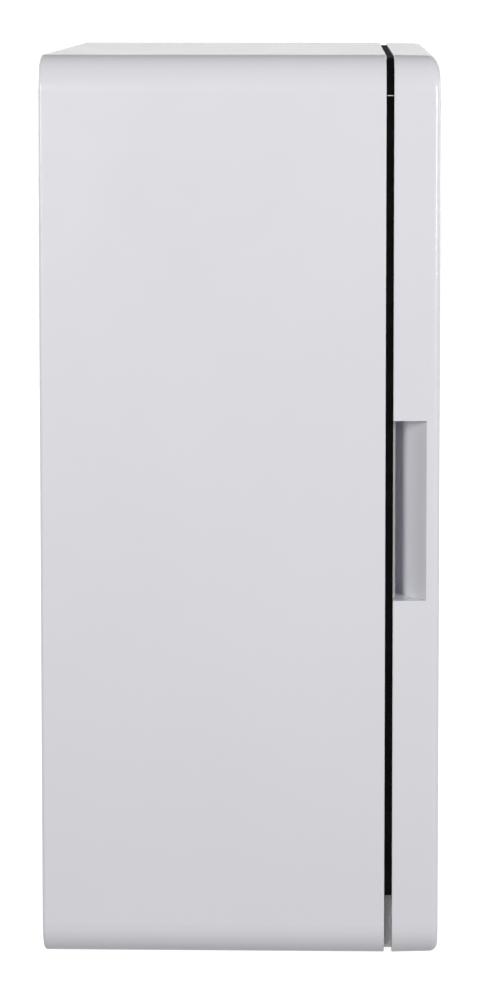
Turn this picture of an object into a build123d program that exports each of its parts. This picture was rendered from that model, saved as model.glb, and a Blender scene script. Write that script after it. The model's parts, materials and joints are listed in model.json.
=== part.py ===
"""Hot towel cabinet: heated two-shelf cabinet with a side-hung door, a drip tray and a power switch.

Millimetres. +X is to the right seen from the front, -Y is the front and +Z is up. The origin is the centre
of the footprint, on the surface that the feet stand on.
"""

from build123d import *
import math
import os

os.makedirs("parts", exist_ok=True)

# Overall size
WIDTH = 450.0
DEPTH = 288.0
SHELL_HEIGHT = 658.0
FOOT_HEIGHT = 6.0
CORNER_R = 26.0
WALL = 3.0

HALF_W = WIDTH / 2
FRONT_Y = -DEPTH / 2
REAR_Y = DEPTH / 2
BOTTOM_Z = FOOT_HEIGHT
TOP_Z = FOOT_HEIGHT + SHELL_HEIGHT
MID_Z = (BOTTOM_Z + TOP_Z) / 2

# Case
BODY_FRONT_Y = -105.0
FRONT_EDGE_R = 0.7
REAR_EDGE_R = 2.4
FIT = 0.2
LEDGE_FRONT_Y = 133.0
BACK_PANEL_T = 1.2
BACK_PANEL_Y = 137.0
LEDGE_W = 9.0
INNER_R = CORNER_R - WALL
PANEL_OUT_Y = BACK_PANEL_Y + BACK_PANEL_T
BASE_PLATE_Z = BOTTOM_Z + WALL + FIT
BASE_PLATE_T = 1.5
BASE_PLATE_W = 396.0
BASE_TOP_Z = BASE_PLATE_Z + BASE_PLATE_T
VENT_COLUMNS = 12
VENT_PITCH = 15.0
VENT_LEFT_X = -150.0
VENT_Z = (34.0, 58.0, 612.0, 636.0)
VENT_L = 16.0
VENT_W = 4.0

# Cross-slotted pan-head screws
SCREW_R = 1.5
BACK_SCREW_X = 217.0
BACK_SCREW_Z = (60.0, 245.0, 430.0, 615.0)
BACK_SCREW_L = 8.0
INLET_SCREW_L = 9.0
DOOR_SCREW_L = 14.0

# Cross-slotted countersunk screws
FRAME_SCREW_X = 191.8
FRAME_SCREW_Z = (110.0, 270.0, 430.0, 600.0)
FRAME_SCREW_R = 1.25
FRAME_SCREW_HEAD_R = 2.6
FRAME_SCREW_L = 10.0
BRACKET_SCREW_R = 2.0
BRACKET_SCREW_HEAD_R = 4.0
BRACKET_SCREW_L = 12.0

# Heated chamber
LINER_HALF_W = 190.0
LINER_T = 1.5
LINER_LOW_Z = 66.0
LINER_HIGH_Z = 630.0
LINER_MID_Z = (LINER_LOW_Z + LINER_HIGH_Z) / 2
LINER_REAR_Y = 119.5
LINER_FLANGE = 4.0
MOUTH_W = 2 * (LINER_HALF_W - LINER_T)
MOUTH_H = LINER_HIGH_Z - LINER_LOW_Z - 2 * LINER_T
MOUTH_R = 6.0
FRAME_T = 4.0
FRAME_BACK_Y = BODY_FRONT_Y + FRAME_T

# Foil heaters, each as its size and centre on the liner
HEATER_T = 1.2
HEATER_GAP = 0.2
HEATER_H = 430.0
HEATER_MID_Z = 340.0
SIDE_HEATER_W = 140.0
REAR_HEATER_W = 300.0
HEATER_CORNER_R = 8.0
HEATER_TAB_X = -12.0
HEATER_TAB_Z = 100.0
HEATER_TAB_W = 30.0
HEATER_TAB_H = 60.0

# Glass-fibre blankets round the chamber
BLANKET_T = 12.0
REAR_BLANKET_T = 9.0
BLANKET_EDGE_R = 2.0
BLANKET_CORNER_R = 10.0
SIDE_MID_Y = 14.0
SIDE_BLANKET_MID_Z = 362.0
SIDE_BLANKET_W = 204.0
SIDE_BLANKET_H = 520.0
REAR_BLANKET_W = 376.0
REAR_BLANKET_H = 540.0
TOP_BLANKET_W = 380.0
TOP_BLANKET_D = 206.0
TOP_BLANKET_MID_Y = 15.0
BOTTOM_BLANKET_W = 336.0
BOTTOM_BLANKET_D = 136.0
BOTTOM_BLANKET_MID_Y = -18.0

# Shelves
SHELF_RAIL_Z = (254.0, 441.0)
SHELF_NAMES = ("lower", "upper")
RAIL_T = 1.2
RAIL_W = 10.0
RAIL_H = 12.0
RAIL_FRONT_Y = -82.0
RAIL_REAR_Y = 112.0
RIVET_Y = (-72.0, 102.0)
RIVET_R = 1.6
RIVET_HEAD_R = 2.9
RIVET_HEAD_T = 1.0
RIVET_TAIL_R = 2.4
RIVET_TAIL_T = 0.7
FRAME_WIRE_R = 2.2
CROSS_WIRE_R = 1.3
SHELF_HALF_W = 183.0
SHELF_FRONT_Y = -84.0
SHELF_REAR_Y = 110.0
SHELF_CORNER_R = 14.0
SHELF_LIFT = 0.3
STIFFENER_DY = 35.0
CROSS_WIRE_COUNT = 17
CROSS_WIRE_PITCH = 21.0
CROSS_WIRE_SINK = 1.4

# Drip tray
TRAY_W = 236.0
TRAY_FRONT_Y = -92.0
TRAY_REAR_Y = 40.0
TRAY_LOW_Z = 16.0
TRAY_HIGH_Z = 40.0
TRAY_T = 1.8
TRAY_CORNER_R = 8.0
TRAY_MID_Y = (TRAY_FRONT_Y + TRAY_REAR_Y) / 2
TRAY_LIP_W = 70.0
TRAY_LIP_REACH = 4.0
TRAY_LIP_T = 1.6
TRAY_LIP_DROP = 5.0
RUNNER_INNER_X = 108.0
RUNNER_GUIDE_X = 118.6
RUNNER_OUTER_X = 122.5
RUNNER_GAP = 0.3
RUNNER_GUIDE_H = 9.0
TRAY_SLOT_W = 242.0
TRAY_SLOT_LOW_Z = 14.5
TRAY_SLOT_HIGH_Z = 43.5
DRAIN_Y = -30.0
DRAIN_R = 6.0
SPOUT_LOW_Z = TRAY_HIGH_Z + 3.0
SPOUT_WALL = 1.5
SPOUT_FLANGE_R = 9.0

# Door
DOOR_REAR_Y = -110.5
DOOR_REAR_EDGE_R = 0.7
DOOR_SIDE_R = 4.5
DOOR_TOP_R = 9.5
DOOR_BOTTOM_R = 6.5
DOOR_SIDE_DRAFT = 0.5
DOOR_TOP_DRAFT = 0.7
DOOR_BOTTOM_DRAFT = 0.9
DOOR_SKIN = 3.5
DOOR_BOSS_X = (-205.0, 198.0)
DOOR_BOSS_Z = (30.0, 225.0, 445.0, 640.0)
DOOR_BOSS_R = 4.0
DOOR_STEP_SIDE = 10.0
DOOR_STEP_END = 14.0
DOOR_STEP_Y = -137.0
DOOR_FLOOR_Y = -141.0
PANEL_T = 2.0
PANEL_FRONT_Y = DOOR_REAR_Y - PANEL_T
PAN_INSET = 8.0
PAN_WALL = 2.0
PAN_HEIGHT = 3.0
DOOR_BLANKET_W = 370.0
DOOR_BLANKET_H = 610.0

# Finger pull in the door's free side
PULL_LOW_Z = 271.3
PULL_HIGH_Z = 402.0
PULL_FRONT_Y = -134.5
CUP_WALL = 2.0
CUP_MOUTH_X = -HALF_W + DOOR_SKIN
CUP_LIP_X = -211.0
CUP_SHOULDER_X = -220.0
CUP_SLOPE_X = -213.5
CUP_SLOPE_Y = -126.5
CUP_BEND_X = -208.5
CUP_BEND_Y = -121.2
CUP_DEEP_X = -195.0
CUP_DEEP_Y = -117.0
CUP_INNER_X = -189.0
CUP_UNDERCUT_Y = -112.3

# Door seal
SEAL_T = 5.2
SEAL_W = 8.0
SEAL_INSET = 1.75
SEAL_LEFT_X = -HALF_W + SEAL_INSET
SEAL_RIGHT_X = 213.0
SEAL_TOP_Z = TOP_Z - SEAL_INSET
SEAL_JOINT_Z = 635.5
SEAL_BOTTOM_Z = 54.2
SEAL_JOINT_GAP = 0.7
SEAL_CORNER_R = CORNER_R - SEAL_INSET
SEAL_END_R = 1.0

# Hinges: a vertical pin in a flat arm that reaches into a slot in the door's edge
HINGE_X = 215.5
HINGE_Y = -122.0
HINGE_Z = (80.0, 590.0)
HINGE_NAMES = ("lower", "upper")
ARM_T = 3.0
ARM_EYE_R = 6.5
ARM_LEFT_X = 214.2
ARM_RIGHT_X = 221.6
BRACKET_LEFT_X = 196.0
BRACKET_HALF_H = 26.0
BRACKET_SCREW_X = 201.0
BRACKET_SCREW_DZ = 16.0
PIN_R = 3.0
PIN_HALF_L = 13.0
PIN_RUNNING_GAP = 0.05
BUSH_R = 5.0
BUSH_FLANGE_R = 6.2
BUSH_FLANGE_T = 1.2
BUSH_END_GAP = 0.3
BLOCK_HALF_H = 14.0
BLOCK_LEFT_X = 206.5
BLOCK_RIGHT_X = 221.3
BLOCK_FRONT_Y = -132.6
BLOCK_REAR_Y = PANEL_FRONT_Y - 0.3
BLOCK_WEB = 2.0
SLOT_HALF_H = ARM_T / 2 + BUSH_END_GAP + BUSH_FLANGE_T
SLOT_FRONT_Y = -133.2

# Magnetic catches
CATCH_X = -202.0
CATCH_Z = (150.0, 520.0)
CATCH_W = 14.0
CATCH_H = 44.0
CATCH_FRONT_Y = -108.4
CATCH_BACK_Y = -96.0
MAGNET_W = 8.0
MAGNET_H = 36.0
MAGNET_BACK_Y = -98.5
MAGNET_PROUD = 0.3
STRIKE_T = 1.5

# Power switch and pilot lamp in a recess of the right side
RECESS_Y = -58.0
RECESS_Z = 68.0
RECESS_W = 30.0
RECESS_H = 60.0
RECESS_DEPTH = 4.0
RECESS_FLOOR_X = HALF_W - RECESS_DEPTH
RECESS_FLOOR_T = 2.5
RECESS_CORNER_R = 4.0
SWITCH_Z = 57.0
LAMP_Z = 85.0
LAMP_R = 5.0
LAMP_DEPTH = 14.0
LAMP_RIM_R = 6.2
LAMP_RIM_T = 2.6
ROCKER_PIVOT_X = 220.4
ROCKER_TILT = 8.0
ROCKER_HALF_W = 5.6
ROCKER_TRUNNION_R = 1.5
ROCKER_RUNNING_GAP = 0.06
ROCKER_SOCKET_DEPTH = 1.5
SWITCH_CAVITY_HALF_H = 8.7
SWITCH_CAVITY_HALF_W = 5.9
SWITCH_BODY_HALF_H = 10.5
SWITCH_BODY_HALF_W = 8.0
SWITCH_BEZEL_HALF_H = 12.5
SWITCH_BEZEL_HALF_W = 10.0
SWITCH_BEZEL_T = 1.6
SWITCH_DEPTH = 18.0
SWITCH_CAVITY_DEPTH = 8.4
TERMINAL_DZ = 5.5
TERMINAL_L = 8.0
TAG_W = 6.3
TAG_T = 0.8

# Mains inlet in the back panel
INLET_X = 120.0
INLET_Z = 38.0
INLET_BODY_W = 27.0
INLET_BODY_H = 19.8
INLET_FLANGE_W = 50.0
INLET_FLANGE_H = 24.0
INLET_FLANGE_T = 3.0
INLET_DEPTH = 20.0
INLET_SOCKET_W = 24.0
INLET_SOCKET_H = 16.4
INLET_SOCKET_DEPTH = 16.5
INLET_SOCKET_CUT = 5.5
INLET_SCREW_PITCH = 40.0
INLET_PIN_W = 2.0
INLET_PIN_H = 4.0
INLET_PIN_L = 26.0

# Feet
FOOT_X = 160.0
FOOT_Y = (-84.0, 116.0)
FOOT_R = 10.0
FOOT_TAPER = 1.2
FOOT_SCREW_R = 2.0
FOOT_SCREW_HEAD_R = 4.0
FOOT_SCREW_HEAD_T = 2.0
FOOT_SCREW_LOW_Z = 1.6
FOOT_SCREW_PROUD = 3.0

# Controls and wires under the chamber
THERMOSTAT_X = -40.0
CONTROLS_Y = 85.0
THERMOSTAT_R = 8.0
THERMOSTAT_H = 9.0
THERMOSTAT_EARS_L = 31.0
FUSE_LEFT_X = 20.0
FUSE_R = 3.6
FUSE_L = 26.0
BLOCK_X = 40.0
BLOCK_Y = 80.0
BLOCK_L = 34.0
BLOCK_W = 18.0
BLOCK_H = 13.0
BLOCK_PITCH = 10.0
EARTH_X = 165.0
EARTH_Y = 100.0
EARTH_SCREW_R = 2.0
WIRE_R = 1.1
WIRE_START_Y = PANEL_OUT_Y - 1.0 - INLET_PIN_L


def across(y):
    """Vertical plane at depth y: sketch x is +X, sketch y is +Z, and it extrudes towards the front."""
    return Plane.XZ.offset(-y)


def write_piece(name, piece):
    """Label a finished piece and write it as the STEP file of the same name."""
    piece.part.label = name
    export_step(piece.part, f"parts/{name}.step")


def write_pan_screws(name, points, seat_y, length, head_r, head_t):
    """Pan-head screws driven towards the front into a surface at depth seat_y."""
    edge_r = head_t / 2
    slot_l = 1.15 * head_r
    slot_w = 0.25 * head_r
    with BuildPart() as screws:
        with BuildSketch(across(seat_y)):
            with Locations(*points):
                Circle(SCREW_R)
        extrude(amount=length)
        with BuildSketch(across(seat_y + head_t)):
            with Locations(*points):
                Circle(head_r)
        extrude(amount=head_t)
        fillet(screws.edges().group_by(Axis.Y)[-1], edge_r)
        with BuildSketch(across(seat_y + head_t)):
            with Locations(*points):
                Rectangle(slot_l, slot_w)
                Rectangle(slot_w, slot_l)
        extrude(amount=edge_r, mode=Mode.SUBTRACT)
    write_piece(name, screws)


def write_countersunk_screws(name, points, shank_r, head_r, length):
    """Countersunk screws whose heads are flush with the front of the case."""
    slot_l = 1.1 * head_r
    slot_w = 0.23 * head_r
    with BuildPart() as screws:
        for x, z in points:
            with BuildSketch(across(BODY_FRONT_Y + length)):
                with Locations((x, z)):
                    Circle(shank_r)
            extrude(amount=length)
            with BuildSketch(across(BODY_FRONT_Y)):
                with Locations((x, z)):
                    Circle(head_r)
            with BuildSketch(across(BODY_FRONT_Y + head_r - shank_r)):
                with Locations((x, z)):
                    Circle(shank_r)
            loft()
        with BuildSketch(across(BODY_FRONT_Y)):
            with Locations(*points):
                Rectangle(slot_l, slot_w)
                Rectangle(slot_w, slot_l)
        extrude(amount=-0.28 * head_r, mode=Mode.SUBTRACT)
    write_piece(name, screws)


# ---- Case ----

back_screw_points = [(side * BACK_SCREW_X, z) for side in (-1, 1) for z in BACK_SCREW_Z]
foot_points = [(side * FOOT_X, y) for side in (-1, 1) for y in FOOT_Y]

with BuildPart() as outer_shell:
    with BuildSketch(across(REAR_Y)):
        with Locations((0, MID_Z)):
            RectangleRounded(WIDTH, SHELL_HEIGHT, CORNER_R)
    extrude(amount=REAR_Y - BODY_FRONT_Y)
    fillet(outer_shell.edges().group_by(Axis.Y)[0], FRONT_EDGE_R)
    fillet(outer_shell.edges().group_by(Axis.Y)[-1], REAR_EDGE_R)
    with BuildSketch(across(REAR_Y)):
        with Locations((0, MID_Z)):
            RectangleRounded(WIDTH - 2 * WALL, SHELL_HEIGHT - 2 * WALL, INNER_R)
    extrude(amount=REAR_Y - BODY_FRONT_Y, mode=Mode.SUBTRACT)
    # Ledge inside the rear rim, which the back panel is screwed to
    with BuildSketch(across(BACK_PANEL_Y)):
        with Locations((0, MID_Z)):
            RectangleRounded(WIDTH - WALL, SHELL_HEIGHT - WALL, CORNER_R - WALL / 2)
            RectangleRounded(
                WIDTH - 2 * (WALL + LEDGE_W),
                SHELL_HEIGHT - 2 * (WALL + LEDGE_W),
                INNER_R - LEDGE_W,
                mode=Mode.SUBTRACT,
            )
    extrude(amount=BACK_PANEL_Y - LEDGE_FRONT_Y)
    with BuildSketch(across(BACK_PANEL_Y)):
        with Locations(*back_screw_points):
            Circle(SCREW_R)
    extrude(amount=BACK_PANEL_Y - LEDGE_FRONT_Y, mode=Mode.SUBTRACT)
    # Recess for the switch and the lamp, with its own walls behind the side
    with BuildSketch(Plane.YZ.offset(RECESS_FLOOR_X - RECESS_FLOOR_T)):
        with Locations((RECESS_Y, RECESS_Z)):
            RectangleRounded(
                RECESS_W + 2 * RECESS_FLOOR_T, RECESS_H + 2 * RECESS_FLOOR_T, RECESS_CORNER_R + 2
            )
    extrude(amount=RECESS_DEPTH - WALL / 2 + RECESS_FLOOR_T)
    with BuildSketch(Plane.YZ.offset(RECESS_FLOOR_X)):
        with Locations((RECESS_Y, RECESS_Z)):
            RectangleRounded(RECESS_W, RECESS_H, RECESS_CORNER_R)
    extrude(amount=RECESS_DEPTH, mode=Mode.SUBTRACT)
    with BuildSketch(Plane.YZ.offset(RECESS_FLOOR_X - RECESS_FLOOR_T)):
        with Locations((RECESS_Y, SWITCH_Z)):
            Rectangle(2 * SWITCH_BODY_HALF_W + FIT, 2 * SWITCH_BODY_HALF_H + FIT)
        with Locations((RECESS_Y, LAMP_Z)):
            Circle(LAMP_R)
    extrude(amount=RECESS_FLOOR_T, mode=Mode.SUBTRACT)
    with BuildSketch(Plane.XY.offset(BOTTOM_Z)):
        with Locations(*foot_points):
            Circle(FOOT_SCREW_R)
    extrude(amount=WALL, mode=Mode.SUBTRACT)
write_piece("outer_shell", outer_shell)

frame_screw_points = [(side * FRAME_SCREW_X, z) for side in (-1, 1) for z in FRAME_SCREW_Z]
bracket_screw_points = [(BRACKET_SCREW_X, z + side * BRACKET_SCREW_DZ) for z in HINGE_Z for side in (-1, 1)]
catch_points = [(CATCH_X, z) for z in CATCH_Z]

with BuildPart() as front_frame:
    with BuildSketch(across(FRAME_BACK_Y)):
        with Locations((0, MID_Z)):
            RectangleRounded(
                WIDTH - 2 * (WALL + FIT), SHELL_HEIGHT - 2 * (WALL + FIT), INNER_R - FIT
            )
        with Locations((0, LINER_MID_Z)):
            RectangleRounded(MOUTH_W, MOUTH_H, MOUTH_R, mode=Mode.SUBTRACT)
        with Locations((0, (TRAY_SLOT_LOW_Z + TRAY_SLOT_HIGH_Z) / 2)):
            RectangleRounded(
                TRAY_SLOT_W, TRAY_SLOT_HIGH_Z - TRAY_SLOT_LOW_Z, 3, mode=Mode.SUBTRACT
            )
        with Locations(*[((ARM_LEFT_X + HALF_W) / 2 - FIT, z) for z in HINGE_Z]):
            Rectangle(HALF_W - ARM_LEFT_X, ARM_T + 2 * FIT, mode=Mode.SUBTRACT)
        with Locations(*catch_points):
            Rectangle(CATCH_W + FIT, CATCH_H + FIT, mode=Mode.SUBTRACT)
        with Locations(*frame_screw_points):
            Circle(FRAME_SCREW_R, mode=Mode.SUBTRACT)
        with Locations(*bracket_screw_points):
            Circle(BRACKET_SCREW_R, mode=Mode.SUBTRACT)
    extrude(amount=FRAME_T)
    # Countersinks for the screw heads
    for points, low_r, high_r in (
        (frame_screw_points, FRAME_SCREW_R, FRAME_SCREW_HEAD_R),
        (bracket_screw_points, BRACKET_SCREW_R, BRACKET_SCREW_HEAD_R),
    ):
        for x, z in points:
            with BuildSketch(across(BODY_FRONT_Y)):
                with Locations((x, z)):
                    Circle(high_r)
            with BuildSketch(across(BODY_FRONT_Y + high_r - low_r)):
                with Locations((x, z)):
                    Circle(low_r)
            loft(mode=Mode.SUBTRACT)
write_piece("front_frame", front_frame)

# Rows of ventilation slots, low and high, clear of the inlet
vent_slots = [(VENT_LEFT_X + VENT_PITCH * column, z) for column in range(VENT_COLUMNS) for z in VENT_Z]
inlet_screw_points = [(INLET_X + side * INLET_SCREW_PITCH / 2, INLET_Z) for side in (-1, 1)]

with BuildPart() as back_panel:
    with BuildSketch(across(PANEL_OUT_Y)):
        with Locations((0, MID_Z)):
            RectangleRounded(
                WIDTH - 2 * (WALL + FIT), SHELL_HEIGHT - 2 * (WALL + FIT), INNER_R - FIT
            )
        with Locations(*vent_slots):
            SlotOverall(VENT_L, VENT_W, rotation=90, mode=Mode.SUBTRACT)
        with Locations((INLET_X, INLET_Z)):
            Rectangle(INLET_BODY_W + FIT, INLET_BODY_H + FIT, mode=Mode.SUBTRACT)
        with Locations(*inlet_screw_points, *back_screw_points):
            Circle(SCREW_R, mode=Mode.SUBTRACT)
    extrude(amount=BACK_PANEL_T)
write_piece("back_panel", back_panel)

write_pan_screws("back_panel_screws", back_screw_points, PANEL_OUT_Y, BACK_SCREW_L, head_r=3.2, head_t=1.8)

base_front_y = FRAME_BACK_Y + 3
base_rear_y = LEDGE_FRONT_Y - 2

with BuildPart() as base_plate:
    with BuildSketch(Plane.XY.offset(BASE_PLATE_Z)):
        with Locations((0, (base_rear_y + base_front_y) / 2)):
            RectangleRounded(BASE_PLATE_W, base_rear_y - base_front_y, 6)
        with Locations(*foot_points):
            Circle(FOOT_SCREW_R, mode=Mode.SUBTRACT)
        with Locations((EARTH_X, EARTH_Y)):
            Circle(EARTH_SCREW_R, mode=Mode.SUBTRACT)
    extrude(amount=BASE_PLATE_T)
write_piece("base_plate", base_plate)

foot_names = ("foot_front_left", "foot_rear_left", "foot_front_right", "foot_rear_right")
for foot_name, (foot_x, foot_y) in zip(foot_names, foot_points):
    with BuildPart() as foot:
        with BuildSketch(Plane.XY):
            with Locations((foot_x, foot_y)):
                Circle(FOOT_R - FOOT_TAPER)
        with BuildSketch(Plane.XY.offset(FOOT_HEIGHT)):
            with Locations((foot_x, foot_y)):
                Circle(FOOT_R)
        loft()
        fillet(foot.edges().group_by(Axis.Z)[0], 0.8)
        with BuildSketch(Plane.XY):
            with Locations((foot_x, foot_y)):
                Circle(FOOT_SCREW_HEAD_R + 0.5)
        extrude(amount=FOOT_SCREW_LOW_Z + FOOT_SCREW_HEAD_T, mode=Mode.SUBTRACT)
        with BuildSketch(Plane.XY):
            with Locations((foot_x, foot_y)):
                Circle(FOOT_SCREW_R)
        extrude(amount=FOOT_HEIGHT, mode=Mode.SUBTRACT)
    write_piece(foot_name, foot)

with BuildPart() as foot_screws:
    with BuildSketch(Plane.XY.offset(FOOT_SCREW_LOW_Z)):
        with Locations(*foot_points):
            Circle(FOOT_SCREW_R)
    extrude(amount=BASE_TOP_Z + FOOT_SCREW_PROUD - FOOT_SCREW_LOW_Z)
    with BuildSketch(Plane.XY.offset(FOOT_SCREW_LOW_Z)):
        with Locations(*foot_points):
            Circle(FOOT_SCREW_HEAD_R)
    extrude(amount=FOOT_SCREW_HEAD_T)
    fillet(foot_screws.edges().group_by(Axis.Z)[0], 0.6)
write_piece("foot_screws", foot_screws)

# ---- Heated chamber ----

rivet_points = [(y, z - RAIL_H / 2) for z in SHELF_RAIL_Z for y in RIVET_Y]

with BuildPart() as inner_liner:
    with BuildSketch(across(LINER_REAR_Y)):
        with Locations((0, LINER_MID_Z)):
            RectangleRounded(2 * LINER_HALF_W, LINER_HIGH_Z - LINER_LOW_Z, MOUTH_R + LINER_T)
    extrude(amount=LINER_REAR_Y - FRAME_BACK_Y)
    with BuildSketch(across(FRAME_BACK_Y + LINER_T)):
        with Locations((0, LINER_MID_Z)):
            RectangleRounded(
                2 * (LINER_HALF_W + LINER_FLANGE),
                LINER_HIGH_Z - LINER_LOW_Z + 2 * LINER_FLANGE,
                MOUTH_R + LINER_T + LINER_FLANGE,
            )
    extrude(amount=LINER_T)
    with BuildSketch(across(LINER_REAR_Y - LINER_T)):
        with Locations((0, LINER_MID_Z)):
            RectangleRounded(MOUTH_W, MOUTH_H, MOUTH_R)
    extrude(amount=LINER_REAR_Y - LINER_T - FRAME_BACK_Y, mode=Mode.SUBTRACT)
    with BuildSketch(Plane.XY.offset(LINER_LOW_Z)):
        with Locations((0, DRAIN_Y)):
            Circle(DRAIN_R)
    extrude(amount=LINER_T, mode=Mode.SUBTRACT)
    with BuildSketch(across(FRAME_BACK_Y + LINER_T)):
        with Locations(*frame_screw_points):
            Circle(FRAME_SCREW_R)
    extrude(amount=LINER_T, mode=Mode.SUBTRACT)
    with BuildSketch(Plane.YZ.offset(-LINER_HALF_W)):
        with Locations(*rivet_points):
            Circle(RIVET_R)
    extrude(amount=2 * LINER_HALF_W, mode=Mode.SUBTRACT)
write_piece("inner_liner", inner_liner)

write_countersunk_screws(
    "frame_screws", frame_screw_points, FRAME_SCREW_R, FRAME_SCREW_HEAD_R, FRAME_SCREW_L
)

# Blankets round the chamber
with BuildPart() as insulation_top:
    with BuildSketch(Plane.XY.offset(LINER_HIGH_Z + 5)):
        with Locations((0, TOP_BLANKET_MID_Y)):
            RectangleRounded(TOP_BLANKET_W, TOP_BLANKET_D, 8)
    extrude(amount=BLANKET_T)
    fillet(insulation_top.edges(), BLANKET_EDGE_R)
write_piece("insulation_top", insulation_top)

with BuildPart() as insulation_bottom:
    with BuildSketch(Plane.XY.offset(LINER_LOW_Z - 2 - BLANKET_T)):
        with Locations((0, BOTTOM_BLANKET_MID_Y)):
            RectangleRounded(BOTTOM_BLANKET_W, BOTTOM_BLANKET_D, 8)
        with Locations((0, DRAIN_Y)):
            Circle(DRAIN_R + 4, mode=Mode.SUBTRACT)
    extrude(amount=BLANKET_T)
write_piece("insulation_bottom", insulation_bottom)

with BuildPart() as insulation_sides:
    for side in (-1, 1):
        with BuildSketch(Plane.YZ.offset(side * (LINER_HALF_W + 3 + BLANKET_T / 2))):
            with Locations((SIDE_MID_Y, SIDE_BLANKET_MID_Z)):
                RectangleRounded(SIDE_BLANKET_W, SIDE_BLANKET_H, BLANKET_CORNER_R)
        extrude(amount=BLANKET_T / 2, both=True)
    fillet(insulation_sides.edges(), BLANKET_EDGE_R)
write_piece("insulation_sides", insulation_sides)

with BuildPart() as insulation_rear:
    with BuildSketch(across(LINER_REAR_Y + 2 + REAR_BLANKET_T)):
        with Locations((0, LINER_MID_Z)):
            RectangleRounded(REAR_BLANKET_W, REAR_BLANKET_H, BLANKET_CORNER_R)
    extrude(amount=REAR_BLANKET_T)
    fillet(insulation_rear.edges(), BLANKET_EDGE_R)
write_piece("insulation_rear", insulation_rear)

# Foil heaters glued to the outside of the liner
for side, heater_name in ((-1, "heater_mat_left"), (1, "heater_mat_right")):
    with BuildPart() as side_heater:
        with BuildSketch(Plane.YZ.offset(side * (LINER_HALF_W + HEATER_GAP + HEATER_T / 2))):
            with Locations((SIDE_MID_Y, HEATER_MID_Z)):
                RectangleRounded(SIDE_HEATER_W, HEATER_H, HEATER_CORNER_R)
        extrude(amount=HEATER_T / 2, both=True)
    write_piece(heater_name, side_heater)

with BuildPart() as heater_mat_rear:
    with BuildSketch(across(LINER_REAR_Y + HEATER_GAP + HEATER_T)):
        with Locations((0, HEATER_MID_Z)):
            RectangleRounded(REAR_HEATER_W, HEATER_H, HEATER_CORNER_R)
        # Connection tab
        with Locations((HEATER_TAB_X, HEATER_TAB_Z)):
            Rectangle(HEATER_TAB_W, HEATER_TAB_H)
    extrude(amount=HEATER_T)
write_piece("heater_mat_rear", heater_mat_rear)

with BuildPart() as drain_spout:
    with BuildSketch(Plane.XY.offset(SPOUT_LOW_Z)):
        with Locations((0, DRAIN_Y)):
            Circle(DRAIN_R)
    extrude(amount=LINER_LOW_Z + LINER_T - SPOUT_LOW_Z)
    with BuildSketch(Plane.XY.offset(LINER_LOW_Z - SPOUT_WALL)):
        with Locations((0, DRAIN_Y)):
            Circle(SPOUT_FLANGE_R)
    extrude(amount=SPOUT_WALL)
    with BuildSketch(Plane.XY.offset(SPOUT_LOW_Z)):
        with Locations((0, DRAIN_Y)):
            Circle(DRAIN_R - SPOUT_WALL)
    extrude(amount=LINER_LOW_Z + LINER_T - SPOUT_LOW_Z, mode=Mode.SUBTRACT)
write_piece("drain_spout", drain_spout)

# ---- Shelves ----

wall_x = LINER_HALF_W - LINER_T

with BuildPart() as shelf_rails:
    for side in (-1, 1):
        for rail_z in SHELF_RAIL_Z:
            with BuildSketch(across(RAIL_REAR_Y)):
                with BuildLine():
                    Polyline(
                        (side * wall_x, rail_z),
                        (side * (wall_x - RAIL_W), rail_z),
                        (side * (wall_x - RAIL_W), rail_z - RAIL_T),
                        (side * (wall_x - RAIL_T), rail_z - RAIL_T),
                        (side * (wall_x - RAIL_T), rail_z - RAIL_H),
                        (side * wall_x, rail_z - RAIL_H),
                        close=True,
                    )
                make_face()
            extrude(amount=RAIL_REAR_Y - RAIL_FRONT_Y)
    with BuildSketch(Plane.YZ.offset(-wall_x)):
        with Locations(*rivet_points):
            Circle(RIVET_R)
    extrude(amount=2 * wall_x, mode=Mode.SUBTRACT)
write_piece("shelf_rails", shelf_rails)

with BuildPart() as rail_rivets:
    for side in (-1, 1):
        head_x = side * (wall_x - RAIL_T)
        for start_x, radius, length in (
            (head_x, RIVET_R, RAIL_T + LINER_T + 0.6),
            (head_x - side * RIVET_HEAD_T, RIVET_HEAD_R, RIVET_HEAD_T),
            (side * LINER_HALF_W, RIVET_TAIL_R, RIVET_TAIL_T),
        ):
            with BuildSketch(Plane.YZ.offset(start_x)):
                with Locations(*rivet_points):
                    Circle(radius)
            extrude(amount=side * length)
write_piece("rail_rivets", rail_rivets)

shelf_mid_y = (SHELF_FRONT_Y + SHELF_REAR_Y) / 2
cross_wire_left = -CROSS_WIRE_PITCH * (CROSS_WIRE_COUNT - 1) / 2
cross_wire_x = [cross_wire_left + CROSS_WIRE_PITCH * index for index in range(CROSS_WIRE_COUNT)]

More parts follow.
